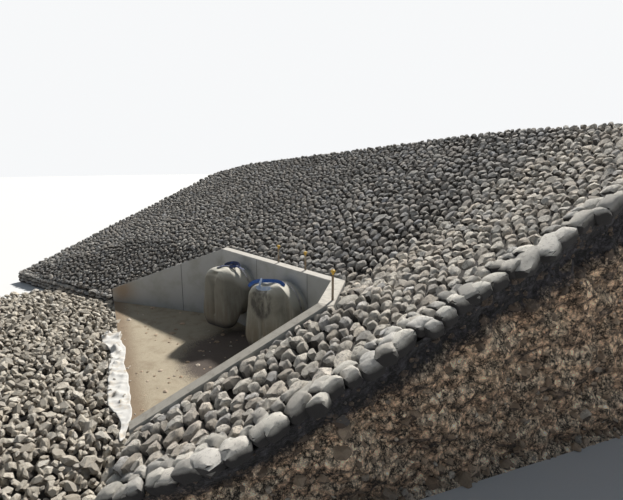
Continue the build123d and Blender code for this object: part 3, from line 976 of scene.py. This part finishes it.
bank_skin = BVHTree.FromObject(bank, bpy.context.evaluated_depsgraph_get())
for name in fill_names:
    lumps = []
    for owner, start, end, normal in cut_runs:
        if owner != name:
            continue
        per_metre = near_clods_per_metre if "near" in name else other_clods_per_metre
        for _ in range(int((end - start).length * per_metre)):
            place = start.lerp(end, random.random()) + normal * 0.5
            level = random.uniform(0, 0.2) if random.random() < 0.12 else random.uniform(0, 7)
            hit = bank_skin.ray_cast(Vector((*place, level)), Vector((*-normal, 0)), 1.2)[0]
            if not hit:
                continue
            size = min(largest_clod, usual_clod * math.exp(random.gauss(0, 0.65)))
            points, faces = random.choice(clod_rough)
            shape = [size * random.uniform(*limits) for limits in ((0.7, 1.3), (0.7, 1.2), (0.6, 1))]
            placed = (points * shape) @ free_angle() + np.array(hit) - np.array((*normal, 0)) * size * 0.3
            # Clods in the band under the stones are tinted dark, as damp and as painted shadow.
            damp_and_shade = smooth_step((below_stones(hit) - 0.85) / 0.5)
            lumps.append((placed, faces, (random.random(), random.random(), damp_and_shade)))
    if lumps:
        clods = join_stones(name.replace("fill", "clods"), lumps, clod_soil, 30)
        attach(clods, "root")

# Concrete walls: cast against sheet forms, grey, with the marks of the sheets, dust
# on the tops and brown run-off at the ends. The landing is rough trowelled mortar.
concrete_grey = (0.47, 0.47, 0.46)
concrete_stain = (0.37, 0.365, 0.33)
mortar_grey = (0.60, 0.56, 0.49)
top_dust = (0.52, 0.49, 0.44)
top_dirt = (0.40, 0.37, 0.32)
runoff_brown = (0.34, 0.255, 0.18)
seam_dark = (0.16, 0.16, 0.155)
wing_wall_end = (-6.5, -2.3, 1.0)
# Each seam: the way across it in plan, its distance from the frame's origin, and how
# much of the stain lies on the sheets past it
seams = [((1, 0, 0), -0.62, 0.14), ((1, 0, 0), 1.78, 0.22), ((-0.8704, -0.4924, 0), 4.05, 0.10)]


def across_seam(tree, way, distance):
    """How far a place lies past a seam."""
    along = vector_maths(tree, "DOT_PRODUCT", {0: place_on(tree), 1: way}, "Value")
    return maths(tree, "SUBTRACT", along, distance)


def away_from(tree, point):
    return vector_maths(tree, "DISTANCE", {0: place_on(tree), 1: point}, "Value")


def formed_concrete(name, top_colour, top_patch):
    """Concrete cast against sheets, with a rough top of its own colour."""
    material, tree, base, finish = mottled(
        name, concrete_grey, concrete_stain, 1.3, 0.42, 90, 0.18, 0.85, 0.35, 0.006
    )
    rough_top = mottle(tree, top_colour, top_patch, 7, 0.42, 60, 0.6)
    runoff = fade(tree, away_from(tree, wing_wall_end), 1.1, 2.0, base.outputs["Height"], 1.4)
    colour = base.outputs["Color"]
    for way, distance, shade in seams:
        past = across_seam(tree, way, distance)
        sheet = maths(tree, "MULTIPLY", fade(tree, past, 0.005, 0.0), shade)
        colour = lay_over(tree, colour, concrete_stain, sheet)
        seam = fade(tree, maths(tree, "ABSOLUTE", past), 0.009, 0.016)
        colour = lay_over(tree, colour, seam_dark, seam)
    colour = lay_over(tree, colour, runoff_brown, runoff)
    colour = lay_over(tree, colour, rough_top.outputs["Color"], lie_up(tree, 0.4, 0.8))
    plug(tree, finish, {"Base Color": colour})
    return material


poured = formed_concrete("formed_concrete", top_dust, top_dirt)
walked_on = formed_concrete("soiled_concrete", (0.36, 0.335, 0.29), (0.27, 0.245, 0.21))
for name in ("headwall", "far_wing_wall", "corner_wall"):
    give(nodes[name], poured)
give(nodes["near_wing_wall"], walked_on)
mortar = mottled("trowelled_mortar", mortar_grey, (0.45, 0.42, 0.37), 6, 0.45, 60, 0.5, 0.92, 0.8, 0.02)[0]
give(nodes["corner_landing"], mortar)
slab_grey = (0.45, 0.44, 0.42)
slab_stain = (0.33, 0.31, 0.28)
slab_concrete = mottled("slab_concrete", slab_grey, slab_stain, 0.9, 0.5, 70, 0.3, 0.85, 0.4, 0.008)[0]
give(nodes["apron_slab"], slab_concrete)

# Silt on the slab: sandy wash left by the last flow, dry and pale downstream, damp
# in the corner below the valves, where it is painted dark as damp and as shade. Small stones have rolled
# onto it.
silt_dry = (0.43, 0.365, 0.265)
silt_patch = (0.33, 0.265, 0.185)
silt_damp_and_shade = (0.085, 0.066, 0.054)
silt_mud = (0.24, 0.175, 0.115)
silt_depth = 0.035
below_valves = (0.6, -1.0, 0.5)
across_slab_edge = (0.276, 0.961, 0)
slab_low, slab_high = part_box("apron_slab")
deselect_all()
bpy.ops.mesh.primitive_grid_add(x_subdivisions=120, y_subdivisions=72, size=1)
silt = bpy.context.object
silt.name = "silt_on_slab"
for vertex in silt.data.vertices:
    x = slab_low[0] + (vertex.co.x + 0.5) * (slab_high[0] - slab_low[0])
    y = slab_low[1] + (vertex.co.y + 0.5) * (slab_high[1] - slab_low[1])
    wash = noise.noise(Vector((x * 0.8, y * 0.8, 2))) + 0.4 * noise.noise(Vector((x * 4, y * 4, 7)))
    lumps = max(0, noise.noise(Vector((x * 7, y * 7, 11))) - 0.25)
    vertex.co = (x, y, slab_high[2] + silt_depth * (0.25 * wash + 0.9 * lumps + 0.16 - 0.12 * y / 4))
bpy.ops.object.mode_set(mode="EDIT")
for side in nodes["apron_slab"].data.polygons:
    if abs(side.normal.z) < 0.1 and side.area > 0.3:
        bpy.ops.mesh.select_all(action="SELECT")
        bpy.ops.mesh.bisect(
            plane_co=side.center - side.normal * 0.012, plane_no=side.normal, clear_outer=True
        )
leave_mesh()
bpy.ops.object.shade_smooth()
silt_finish, tree, base, finish = mottled("silt", silt_dry, silt_patch, 2.4, 0.42, 55, 0.7, 0.95, 1.0, 0.02)
# The dark corner below the valves is damp silt and painted shade.
damp_and_shade = fade(tree, away_from(tree, below_valves), 2.8, 3.3, base.outputs["Height"], 1.4)
from_edge = vector_maths(tree, "DOT_PRODUCT", {0: place_on(tree), 1: across_slab_edge}, "Value")
mud = fade(tree, from_edge, -3.45, -2.95, base.outputs["Height"], 0.9)
colour = lay_over(tree, base.outputs["Color"], silt_mud, mud)
plug(tree, finish, {"Base Color": lay_over(tree, colour, silt_damp_and_shade, damp_and_shade)})
give(silt, silt_finish)
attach(silt, "root")

# Lumps on the silt: small clods of soil and stones that have rolled down off the
# banks and come to rest on the slab.
lump_count = 170
usual_lump = 0.030
largest_lump = 0.11
silt_skin = BVHTree.FromObject(silt, bpy.context.evaluated_depsgraph_get())
slab_lumps = []
while len(slab_lumps) < lump_count:
    x, y = random.uniform(slab_low[0], slab_high[0]), random.uniform(slab_low[1], slab_high[1])
    there = probe(silt_skin, x, y)
    if there:
        points, faces = random.choice(clod_rough)
        size = min(largest_lump, usual_lump * math.exp(random.gauss(0, 0.6)))
        turn = Matrix.Rotation(random.uniform(0, math.tau), 3, "Z")
        placed = (points * size * (1.2, 0.9, 0.6)) @ np.array(turn) + (x, y, there[0])
        slab_lumps.append((placed, faces, (random.random(), random.random(), 1)))
lumps_on_slab = join_stones("lumps_on_slab", slab_lumps, clod_soil, 30)
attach(lumps_on_slab, "root")

# Duckbill valves: moulded rubber sleeves, about 2 m tall, that water pushes open.
# Their sides fall in towards the lips, and the top folds into a saddle between two
# shoulders. Dust lies on the shoulders and water has streaked the sides. The far
# sleeve is painted darker as shade, and the foot of each is painted near black as shade.
rubber_grey = (0.275, 0.262, 0.215)
rubber_stain = (0.075, 0.070, 0.060)
rubber_streak = (0.30, 0.288, 0.24)
rubber_dust = (0.55, 0.52, 0.44)
rubber_patch = (0.19, 0.175, 0.14)
rubber_silted = (0.20, 0.168, 0.122)
rubber_shaded = (0.085, 0.080, 0.066)
rubber_foot_shade = (0.03, 0.026, 0.024)
pipe_axis_level = 1.75
# Reach from the headwall, top width, foot width, rise, drop, and how round top and foot are
sleeve_sections = [
    (0.12, 1.55, 1.55, 0.775, 0.775, 0.495, 0.495),
    (0.45, 1.55, 1.55, 0.775, 0.775, 0.49, 0.49),
    (0.80, 1.22, 1.46, 0.88, 1.09, 0.48, 0.42),
    (0.97, 1.06, 1.39, 0.87, 1.08, 0.47, 0.36),
    (1.08, 0.95, 1.32, 0.84, 1.06, 0.46, 0.33),
    (1.16, 0.84, 1.24, 0.78, 1.02, 0.45, 0.30),
    (1.212, 0.68, 1.08, 0.69, 0.94, 0.43, 0.30),
    (1.228, 0.45, 0.70, 0.56, 0.80, 0.40, 0.30),
    (1.225, 0.18, 0.26, 0.44, 0.68, 0.35, 0.30),
    (1.20, 0.03, 0.03, 0.38, 0.60, 0.30, 0.30),
]
ring_points = 72
stations = 44
saddle_half = 0.22
saddle_fall = 0.10


def sleeve_ring(top_width, foot_width, rise, drop, top_roundness, foot_roundness):
    """Points at even distances round a section, from the middle of its top."""
    outline = [(0, rise)]
    for hand, width, level, up, first, roundness in (
        (-1, top_width, rise, -1, 90, top_roundness),
        (-1, foot_width, -drop, 1, 180, foot_roundness),
        (1, foot_width, -drop, 1, 270, foot_roundness),
        (1, top_width, rise, -1, 0, top_roundness),
    ):
        radius = roundness * width
        for run in range(13):
            angle = math.radians(first + 90 * run / 12)
            x = hand * (width / 2 - radius) + radius * math.cos(angle)
            outline.append((x, level + up * radius + radius * math.sin(angle)))
    outline = np.array(outline + [(0, rise)])
    walked = np.append(0, np.hypot(*np.diff(outline, axis=0).T).cumsum())
    even = np.linspace(0, walked[-1], ring_points + 1)
    return np.stack([np.interp(even, walked, outline[:, 0]), np.interp(even, walked, outline[:, 1])], axis=1)


def form_sleeve(name, centre, slant):
    """The sleeve is a sheet rolled round its sections, then pressed in at the saddle and the lips."""
    reaches = np.array([section[0] for section in sleeve_sections])
    order = np.linspace(0, len(sleeve_sections) - 1, stations)
    shape = np.array([np.interp(order, range(len(reaches)), column) for column in zip(*sleeve_sections)]).T
    deselect_all()
    bpy.ops.mesh.primitive_grid_add(x_subdivisions=ring_points, y_subdivisions=stations - 1, size=1)
    sleeve = bpy.context.object
    sleeve.name = name
    rings = [sleeve_ring(*section[1:]) for section in shape]
    for vertex in sleeve.data.vertices:
        ring = round((vertex.co.y + 0.5) * (stations - 1))
        x, z = rings[ring][round((vertex.co.x + 0.5) * ring_points)]
        reach = shape[ring][0]
        over_saddle = smooth_step(1.25 - abs(x) / saddle_half) * smooth_step((reach - 0.62) / 0.3)
        z -= saddle_fall * over_saddle * smooth_step((z - 0.25) / 0.3)
        lip_half = 0.05 + 0.16 * smooth_step((z + 0.1) / 0.9)
        lip_depth = 0.035 + 0.10 * smooth_step((z - 0.1) / 0.6)
        reach -= lip_depth * smooth_step(1 - abs(x) / lip_half) * smooth_step((reach - 1.05) / 0.15)
        reach -= slant * max(0, x + 0.35) * smooth_step((reach - 0.45) / 0.7)
        ripple = 0.012 * noise.noise(Vector((x * 5 + centre, z * 1.5, 4)))
        ripple += 0.02 * noise.noise(Vector((x * 2, z * 2, centre)))
        vertex.co = (centre + x * (1 + ripple), -reach, pipe_axis_level + z)
    edit_mesh()
    bpy.ops.mesh.remove_doubles(threshold=0.0005)
    bpy.ops.mesh.select_all(action="DESELECT")
    bpy.ops.mesh.select_mode(type="EDGE")
    bpy.ops.mesh.select_non_manifold()
    bpy.ops.mesh.edge_face_add()
    bpy.ops.mesh.select_all(action="SELECT")
    bpy.ops.mesh.normals_make_consistent(inside=False)
    leave_mesh()
    softened = sleeve.modifiers.new("softened", "SMOOTH")
    softened.iterations = 3
    softened.factor = 0.5
    bpy.ops.object.modifier_apply(modifier="softened")
    bpy.ops.object.shade_smooth_by_angle(angle=math.radians(60))
    stains = []
    for vertex in sleeve.data.vertices:
        across, down = vertex.co.x - centre - 0.05 * slant, vertex.co.z - pipe_axis_level - 0.35
        near_lips = smooth_step((-vertex.co.y - 0.6) / 0.2)
        stain = near_lips * smooth_step(1.6 - math.hypot(across / 0.26, down / 0.42))
        stains.append(stain * (slant > 0.3))
    paint(sleeve, "under_saddle", stains)
    return sleeve


def streaks(tree, across, down, least=0.46, most=0.68):
    """Runs of water down a side, as a mask."""
    stretch = tree.nodes.new("ShaderNodeMapping")
    plug(tree, stretch, {"Vector": place_on(tree), "Scale": (across, across, down)})
    runs = noise_texture(tree, stretch.outputs["Vector"], 1, 5, 0.65)
    return map_range(tree, runs, least, most, 0, 1, "SMOOTHSTEP")


def height_band(tree, low, high):
    """A mask that goes from 0 at one level to 1 at another."""
    return map_range(tree, upright_part(tree, place_on(tree)), low, high, 0, 1, "SMOOTHSTEP")


valve_rubber, tree, base, finish = mottled(
    "valve_rubber", rubber_grey, rubber_patch, 2.0, 0.44, 60, 0.35, 0.78, 0.3, 0.008
)
on_far_sleeve = maths(tree, "MULTIPLY", fade(tree, across_seam(tree, (1, 0, 0), 0), -0.3, 0.1), 0.5)
stain = fade(tree, painted(tree, "under_saddle"), 1.25, 0.75, base.outputs["Height"], 0.7)
stain = maths(tree, "MULTIPLY", stain, streaks(tree, 7, 2.6, 0.34, 0.60))
colour = base.outputs["Color"]
for above, mask in (
    (rubber_silted, height_band(tree, 1.75, 1.15)),
    (rubber_streak, streaks(tree, 9, 0.9)),
    (rubber_shaded, on_far_sleeve),
    (rubber_dust, lie_up(tree, 0.15, 0.65)),
    (rubber_stain, stain),
    # Painted shade: the foot of each sleeve is made near black.
    (rubber_foot_shade, height_band(tree, 1.02, 0.78)),
):
    colour = lay_over(tree, colour, above, mask)
plug(tree, finish, {"Base Color": colour})
sleeves = {}
for side, centre, slant in (("far", -1.35, 0.22), ("near", 1.08, 0.5)):
    sleeve = sleeves[side] = form_sleeve(f"{side}_valve_sleeve", centre, slant)
    give(sleeve, valve_rubber)
    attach(sleeve, "root")
    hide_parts(f"{side}_valve")

# Pipe and clamp bands: precast pipe stubs, and a stainless band that holds each
# sleeve's cuff.
pipe_grey = (0.42, 0.42, 0.40)
pipe_patch = (0.33, 0.32, 0.30)
clamp_grey = (0.30, 0.30, 0.31)
clamp_rust = (0.16, 0.13, 0.11)
pipe_finish = mottled("precast_pipe", pipe_grey, pipe_patch, 3, 0.4, 80, 0.2, 0.85, 0.3, 0.004)[0]
clamp_steel, tree, base, finish = mottled(
    "clamp_band", clamp_grey, clamp_rust, 5, 0.45, 90, 0.25, 0.4, 0.2, 0.002
)
finish.inputs["Metallic"].default_value = 0.8
for side in ("far", "near"):
    give(nodes[f"{side}_pipe"], pipe_finish)
    give(nodes[f"{side}_valve_clamp"], clamp_steel)

# Lifting slings: woven polyester webbing, 60 to 110 mm wide, left lying over the
# shoulders of the valves after they were hung.
sling_blue = (0.03, 0.10, 0.36)
sling_blue_patch = (0.10, 0.20, 0.45)
sling_worn = (0.42, 0.52, 0.70)
sling_worn_patch = (0.62, 0.66, 0.72)
sling_dark = (0.02, 0.025, 0.05)
sling_dark_patch = (0.04, 0.08, 0.24)
sling_thickness = 0.008


def webbing(name, sleeve, path, width, flat_side, material):
    """A strap whose points rest on the sleeve, or hang above it, with its width towards one side."""
    skin = BVHTree.FromObject(sleeve, bpy.context.evaluated_depsgraph_get())
    points = []
    for x, y, level in path:
        under = probe(skin, x, y, 4)
        points.append(Vector((x, y, max(level, under[0] + 0.012) if under else level)))
    deselect_all()
    bpy.ops.mesh.primitive_grid_add(x_subdivisions=2, y_subdivisions=len(points) - 1, size=1)
    strap = bpy.context.object
    strap.name = name
    for vertex in strap.data.vertices:
        n = round((vertex.co.y + 0.5) * (len(points) - 1))
        run = (points[min(n + 1, len(points) - 1)] - points[max(n - 1, 0)]).normalized()
        side = run.cross(Vector(flat_side)).normalized()
        vertex.co = points[n] + side * vertex.co.x * width
    smooth = strap.modifiers.new("smooth", "SUBSURF")
    smooth.levels = smooth.render_levels = 3
    thick = strap.modifiers.new("thick", "SOLIDIFY")
    thick.thickness = sling_thickness
    thick.offset = 1
    for step in ("smooth", "thick"):
        bpy.ops.object.modifier_apply(modifier=step)
    bpy.ops.object.shade_smooth_by_angle(angle=math.radians(50))
    give(strap, material)
    return strap


def webbing_finish(name, colour, worn):
    return mottled(name, colour, worn, 14, 0.42, 400, 0.4, 0.8, 0.35, 0.002)[0]


blue_webbing = webbing_finish("blue_webbing", sling_blue, sling_blue_patch)
worn_webbing = webbing_finish("worn_webbing", sling_worn, sling_worn_patch)
dark_webbing = webbing_finish("dark_webbing", sling_dark, sling_dark_patch)
up, outward = (0, 0, 1), (0.65, -0.75, 0.3)
# Each strap: its name, its width, where its flat side looks, its webbing and its path
sling_straps = {
    "near": [
        ("over_shoulders", 0.10, outward, blue_webbing, [
            (0.52, -1.04, 2.42), (0.60, -1.00, 2.54), (0.74, -0.90, 2.61), (0.94, -0.76, 2.62),
            (1.10, -0.62, 2.63), (1.24, -0.50, 2.61), (1.34, -0.42, 2.50),
        ]),
        ("in_saddle", 0.11, outward, worn_webbing, [
            (0.98, -1.10, 2.53), (1.08, -1.06, 2.49), (1.20, -0.97, 2.49), (1.32, -0.88, 2.53),
        ]),
        ("loose_end", 0.06, outward, worn_webbing, [
            (1.10, -1.12, 2.46), (1.06, -1.06, 2.55), (1.00, -0.98, 2.64), (0.94, -0.90, 2.72),
        ]),
    ],
    "far": [
        ("over_shoulders", 0.11, up, dark_webbing, [
            (-1.80, -0.78, 2.44), (-1.66, -0.70, 2.56), (-1.44, -0.62, 2.60),
            (-1.20, -0.52, 2.60), (-0.98, -0.40, 2.60), (-0.84, -0.30, 2.50),
        ]),
        ("loop", 0.10, outward, dark_webbing, [
            (-1.52, -0.60, 2.60), (-1.42, -0.44, 2.66), (-1.26, -0.34, 2.68),
            (-1.08, -0.34, 2.66), (-0.94, -0.42, 2.60),
        ]),
        ("coil", 0.10, outward, dark_webbing, [
            (-1.34, -0.52, 2.60), (-1.16, -0.60, 2.62), (-1.00, -0.52, 2.62),
            (-1.06, -0.36, 2.63), (-1.26, -0.30, 2.62), (-1.46, -0.36, 2.60),
        ]),
        ("loose_end", 0.08, up, dark_webbing, [
            (-1.50, -0.88, 2.40), (-1.48, -0.80, 2.50), (-1.42, -0.68, 2.58), (-1.34, -0.56, 2.60),
        ]),
    ],
}
for side, straps in sling_straps.items():
    for name, width, flat_side, material, path in straps:
        strap = webbing(f"{side}_sling_{name}", sleeves[side], path, width, flat_side, material)
        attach(strap, "root")
        if name == "over_shoulders":
            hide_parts(f"{side}_valve_sling")

# Marker pickets: rusted steel star posts with dried mortar on them, two upright on the
# headwall and one on the landing. Each has a moulded yellow plastic cap with a domed
# top, a rim and a socket over the post's head.
picket_rust = (0.30, 0.22, 0.15)
picket_mortar = (0.46, 0.42, 0.34)
cap_yellow = (0.72, 0.44, 0.06)
cap_worn = (0.55, 0.34, 0.08)
socket_height = 0.05
socket_share = 0.5
# The cap's rim and dome: each step's share of the rim's radius, and its height over the cap's foot
cap_steps = ((1.0, 0.052), (1.0, 0.066), (0.88, 0.086), (0.62, 0.101), (0.25, 0.109))
picket_steel = mottled("picket_steel", picket_rust, picket_mortar, 9, 0.46, 90, 0.4, 0.8, 0.3, 0.002)[0]
give(nodes["marker_pickets"], picket_steel)
cap_plastic = mottled("cap_plastic", cap_yellow, cap_worn, 20, 0.36, 90, 0.15, 0.5, 0.15, 0.001)[0]
for n, (corners, _) in enumerate(loose_solids("picket_caps")):
    foot, head = corners.min(axis=0), corners.max(axis=0)
    middle = (foot + head) / 2
    radius = (head[0] - foot[0]) / 2
    deselect_all()
    bpy.ops.mesh.primitive_cylinder_add(
        vertices=28,
        radius=radius * socket_share,
        depth=socket_height,
        location=(middle[0], middle[1], foot[2] + socket_height / 2),
    )
    cap = bpy.context.object
    cap.name = f"picket_cap_{n + 1}"
    bpy.ops.object.transform_apply(location=True, rotation=True, scale=True)
    bpy.ops.object.mode_set(mode="EDIT")
    bpy.ops.mesh.select_mode(type="FACE")
    bpy.ops.mesh.select_all(action="DESELECT")
    leave_mesh()
    for face in cap.data.polygons:
        face.select = face.normal.z > 0.9
    bpy.ops.object.mode_set(mode="EDIT")
    level = socket_height
    spread = socket_share
    for new_spread, new_level in cap_steps:
        bpy.ops.mesh.extrude_region_move(TRANSFORM_OT_translate={"value": (0, 0, new_level - level)})
        ratio = new_spread / spread
        bpy.ops.transform.resize(
            value=(ratio, ratio, 1), center_override=(middle[0], middle[1], foot[2] + new_level)
        )
        level, spread = new_level, new_spread
    leave_mesh()
    bpy.ops.object.shade_smooth_by_angle(angle=math.radians(40))
    give(cap, cap_plastic)
    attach(cap, "root")
    if n == 0:
        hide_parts("picket_caps")

# Loose rock apron: quarried rock of 150 to 400 mm, tipped from the bucket and left
# in low heaps, so that it lies at all angles.
apron_rough = [rough_out(80 + n, 1, 7, 0.52, 0.80, -80) for n in range(8)]
apron_colours = [
    (0.66, 0.60, 0.50),
    (0.80, 0.73, 0.62),
    (0.56, 0.51, 0.43),
    (0.72, 0.64, 0.52),
    (0.84, 0.79, 0.70),
]
apron_patch = (0.46, 0.39, 0.31)
apron_dirt_and_shade = (0.16, 0.13, 0.10)
apron_rock = toned_stone("apron_rock", apron_colours, apron_patch, 0.4, (1, 1, 1), apron_dirt_and_shade, -0.35, 0.3)
# Each layer: the usual size of its rocks, and its level over the apron's top
layers = ((0.29, -0.14), (0.22, -0.03))
edge_rocks_per_metre = 17
apron_bed_drop = 0.2
apron_bed_inset = 0.35


def tipped(rough, size, flattest, tallest, place):
    """A rock that lies as it fell, with proportions and a tone of its own."""
    points, faces = rough
    shape = [random.uniform(*limits) for limits in ((0.75, 1.15), (0.6, 0.95), (flattest, tallest))]
    placed = (points * shape * size) @ free_angle() + place
    return placed, faces, (random.random(), random.random(), random.random())


rock_top, rock_corners, _ = surface_of(["rock_apron"], 0.7)
rock_samples = spread_samples(rock_top, rock_corners, 0.05)
heaps = []
for size, level in layers:
    places, widths = drop_seeds(rock_samples, lambda x, y: size, 0.28, 0.42)
    for place, width in zip(places, widths):
        heap = 0.07 * noise.noise(Vector((place[0] * 0.55, place[1] * 0.55, 3)))
        rough = random.choice(apron_rough)
        heaps.append(tipped(rough, width * 0.66, 0.4, 0.7, place + (0, 0, level + heap)))
built = surface_of([name for name in nodes if name != "rock_apron"])[0]
rock_middle = Vector(rock_samples.mean(axis=0)).xy
rock_outline = outline_runs(rock_corners)[0]
rock_open = [run for run in rock_outline if built.find_nearest(Vector(run.mean(axis=0)))[3] > 0.3]
for run in rock_open:
    start, end = Vector(run[0]), Vector(run[1])
    inward = run_ways(start, end, rock_middle)[1]
    for n in range(int((end - start).length * edge_rocks_per_metre)):
        place = start.lerp(end, random.random())
        rough = random.choice(apron_rough)
        size = random.uniform(0.11, 0.18)
        level = 0.4 * size if n % 2 else random.uniform(0.6 * size, place.z - 0.05)
        away = 0.7 * size + 0.25 * level
        place = (place.x + inward.x * away, place.y + inward.y * away, level)
        heaps.append(tipped(rough, size, 0.5, 0.8, place))
rocks = join_stones("loose_rocks", heaps, apron_rock, 20)
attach(rocks, "root")
rock_bed = copy_of("rock_apron", "rock_apron_bed")
lower_top(rock_bed, apron_bed_drop)
draw_in(rock_bed, rock_open, apron_bed_inset, rock_top)
give(rock_bed, bedding_soil)
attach(rock_bed, "root")
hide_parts("rock_apron")

# Separation cloth: white needle-felted geotextile under the rock. Its end shows
# along the slab's edge, wrinkled, with soil on it, and narrows to a tail.
cloth_length = 6.2
cloth_widths = [0.56, 0.50, 0.40, 0.36, 0.44, 0.50, 0.46, 0.20, 0.07]
cloth_lap = 0.12
cloth_lift = 0.45
cloth_middle = Vector((-0.570, -4.250, cloth_lift))
cloth_heading = -16.0
cloth_thickness = 0.004
felt_white = (0.62, 0.605, 0.575)
felt_soiled = (0.50, 0.42, 0.32)
columns, rows = 151, 15
deselect_all()
bpy.ops.mesh.primitive_grid_add(x_subdivisions=columns - 1, y_subdivisions=rows - 1, size=1)
cloth = bpy.context.object
cloth.name = "separation_cloth_strip"
turn = Matrix.Rotation(math.radians(cloth_heading), 3, "Z")
rock_skin = BVHTree.FromObject(rocks, bpy.context.evaluated_depsgraph_get())
laid = np.zeros((rows, columns, 3))
for i in range(rows):
    for j in range(columns):
        along, across = j / (columns - 1), i / (rows - 1) - 1
        width = np.interp(along * (len(cloth_widths) - 1), range(len(cloth_widths)), cloth_widths)
        bend = 0.07 * noise.noise(Vector((along * 6, 0, 9)))
        bend += 0.03 * noise.noise(Vector((along * 16, across, 2)))
        x = (along - 0.5) * cloth_length
        y = cloth_lap + across * width + bend - 0.22 * smooth_step((along - 0.8) / 0.2)
        place = cloth_middle + turn @ Vector((x, y, 0))
        under = probe(rock_skin, place.x, place.y, 3)
        laid[i, j] = (place.x, place.y, max(cloth_lift, under[0] if under else cloth_lift))
for _ in range(4):
    smoothed = laid[..., 2].copy()
    around = laid[:-2, 1:-1, 2] + laid[2:, 1:-1, 2] + laid[1:-1, :-2, 2] + laid[1:-1, 2:, 2]
    smoothed[1:-1, 1:-1] = around / 4
    laid[..., 2] = np.maximum(laid[..., 2] - 0.004, smoothed)
for vertex in cloth.data.vertices:
    i = round((vertex.co.y + 0.5) * (rows - 1))
    j = round((vertex.co.x + 0.5) * (columns - 1))
    x, y, z = laid[i, j]
    crease = 1 - abs(noise.noise(Vector((x * 4, y * 3, 1)))) * 2
    wrinkle = 0.028 * crease**3 + noise.noise(Vector((x * 14, y * 14, 5))) * 0.006
    vertex.co = (x, y, z + 0.016 + wrinkle)
bpy.ops.object.shade_smooth()
thick = cloth.modifiers.new("felt", "SOLIDIFY")
thick.thickness = cloth_thickness
bpy.ops.object.modifier_apply(modifier="felt")
felt = mottled("white_felt", felt_white, felt_soiled, 3.5, 0.38, 220, 0.25, 0.95, 0.5, 0.006)[0]
give(cloth, felt)
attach(cloth, "root")
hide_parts("separation_cloth")
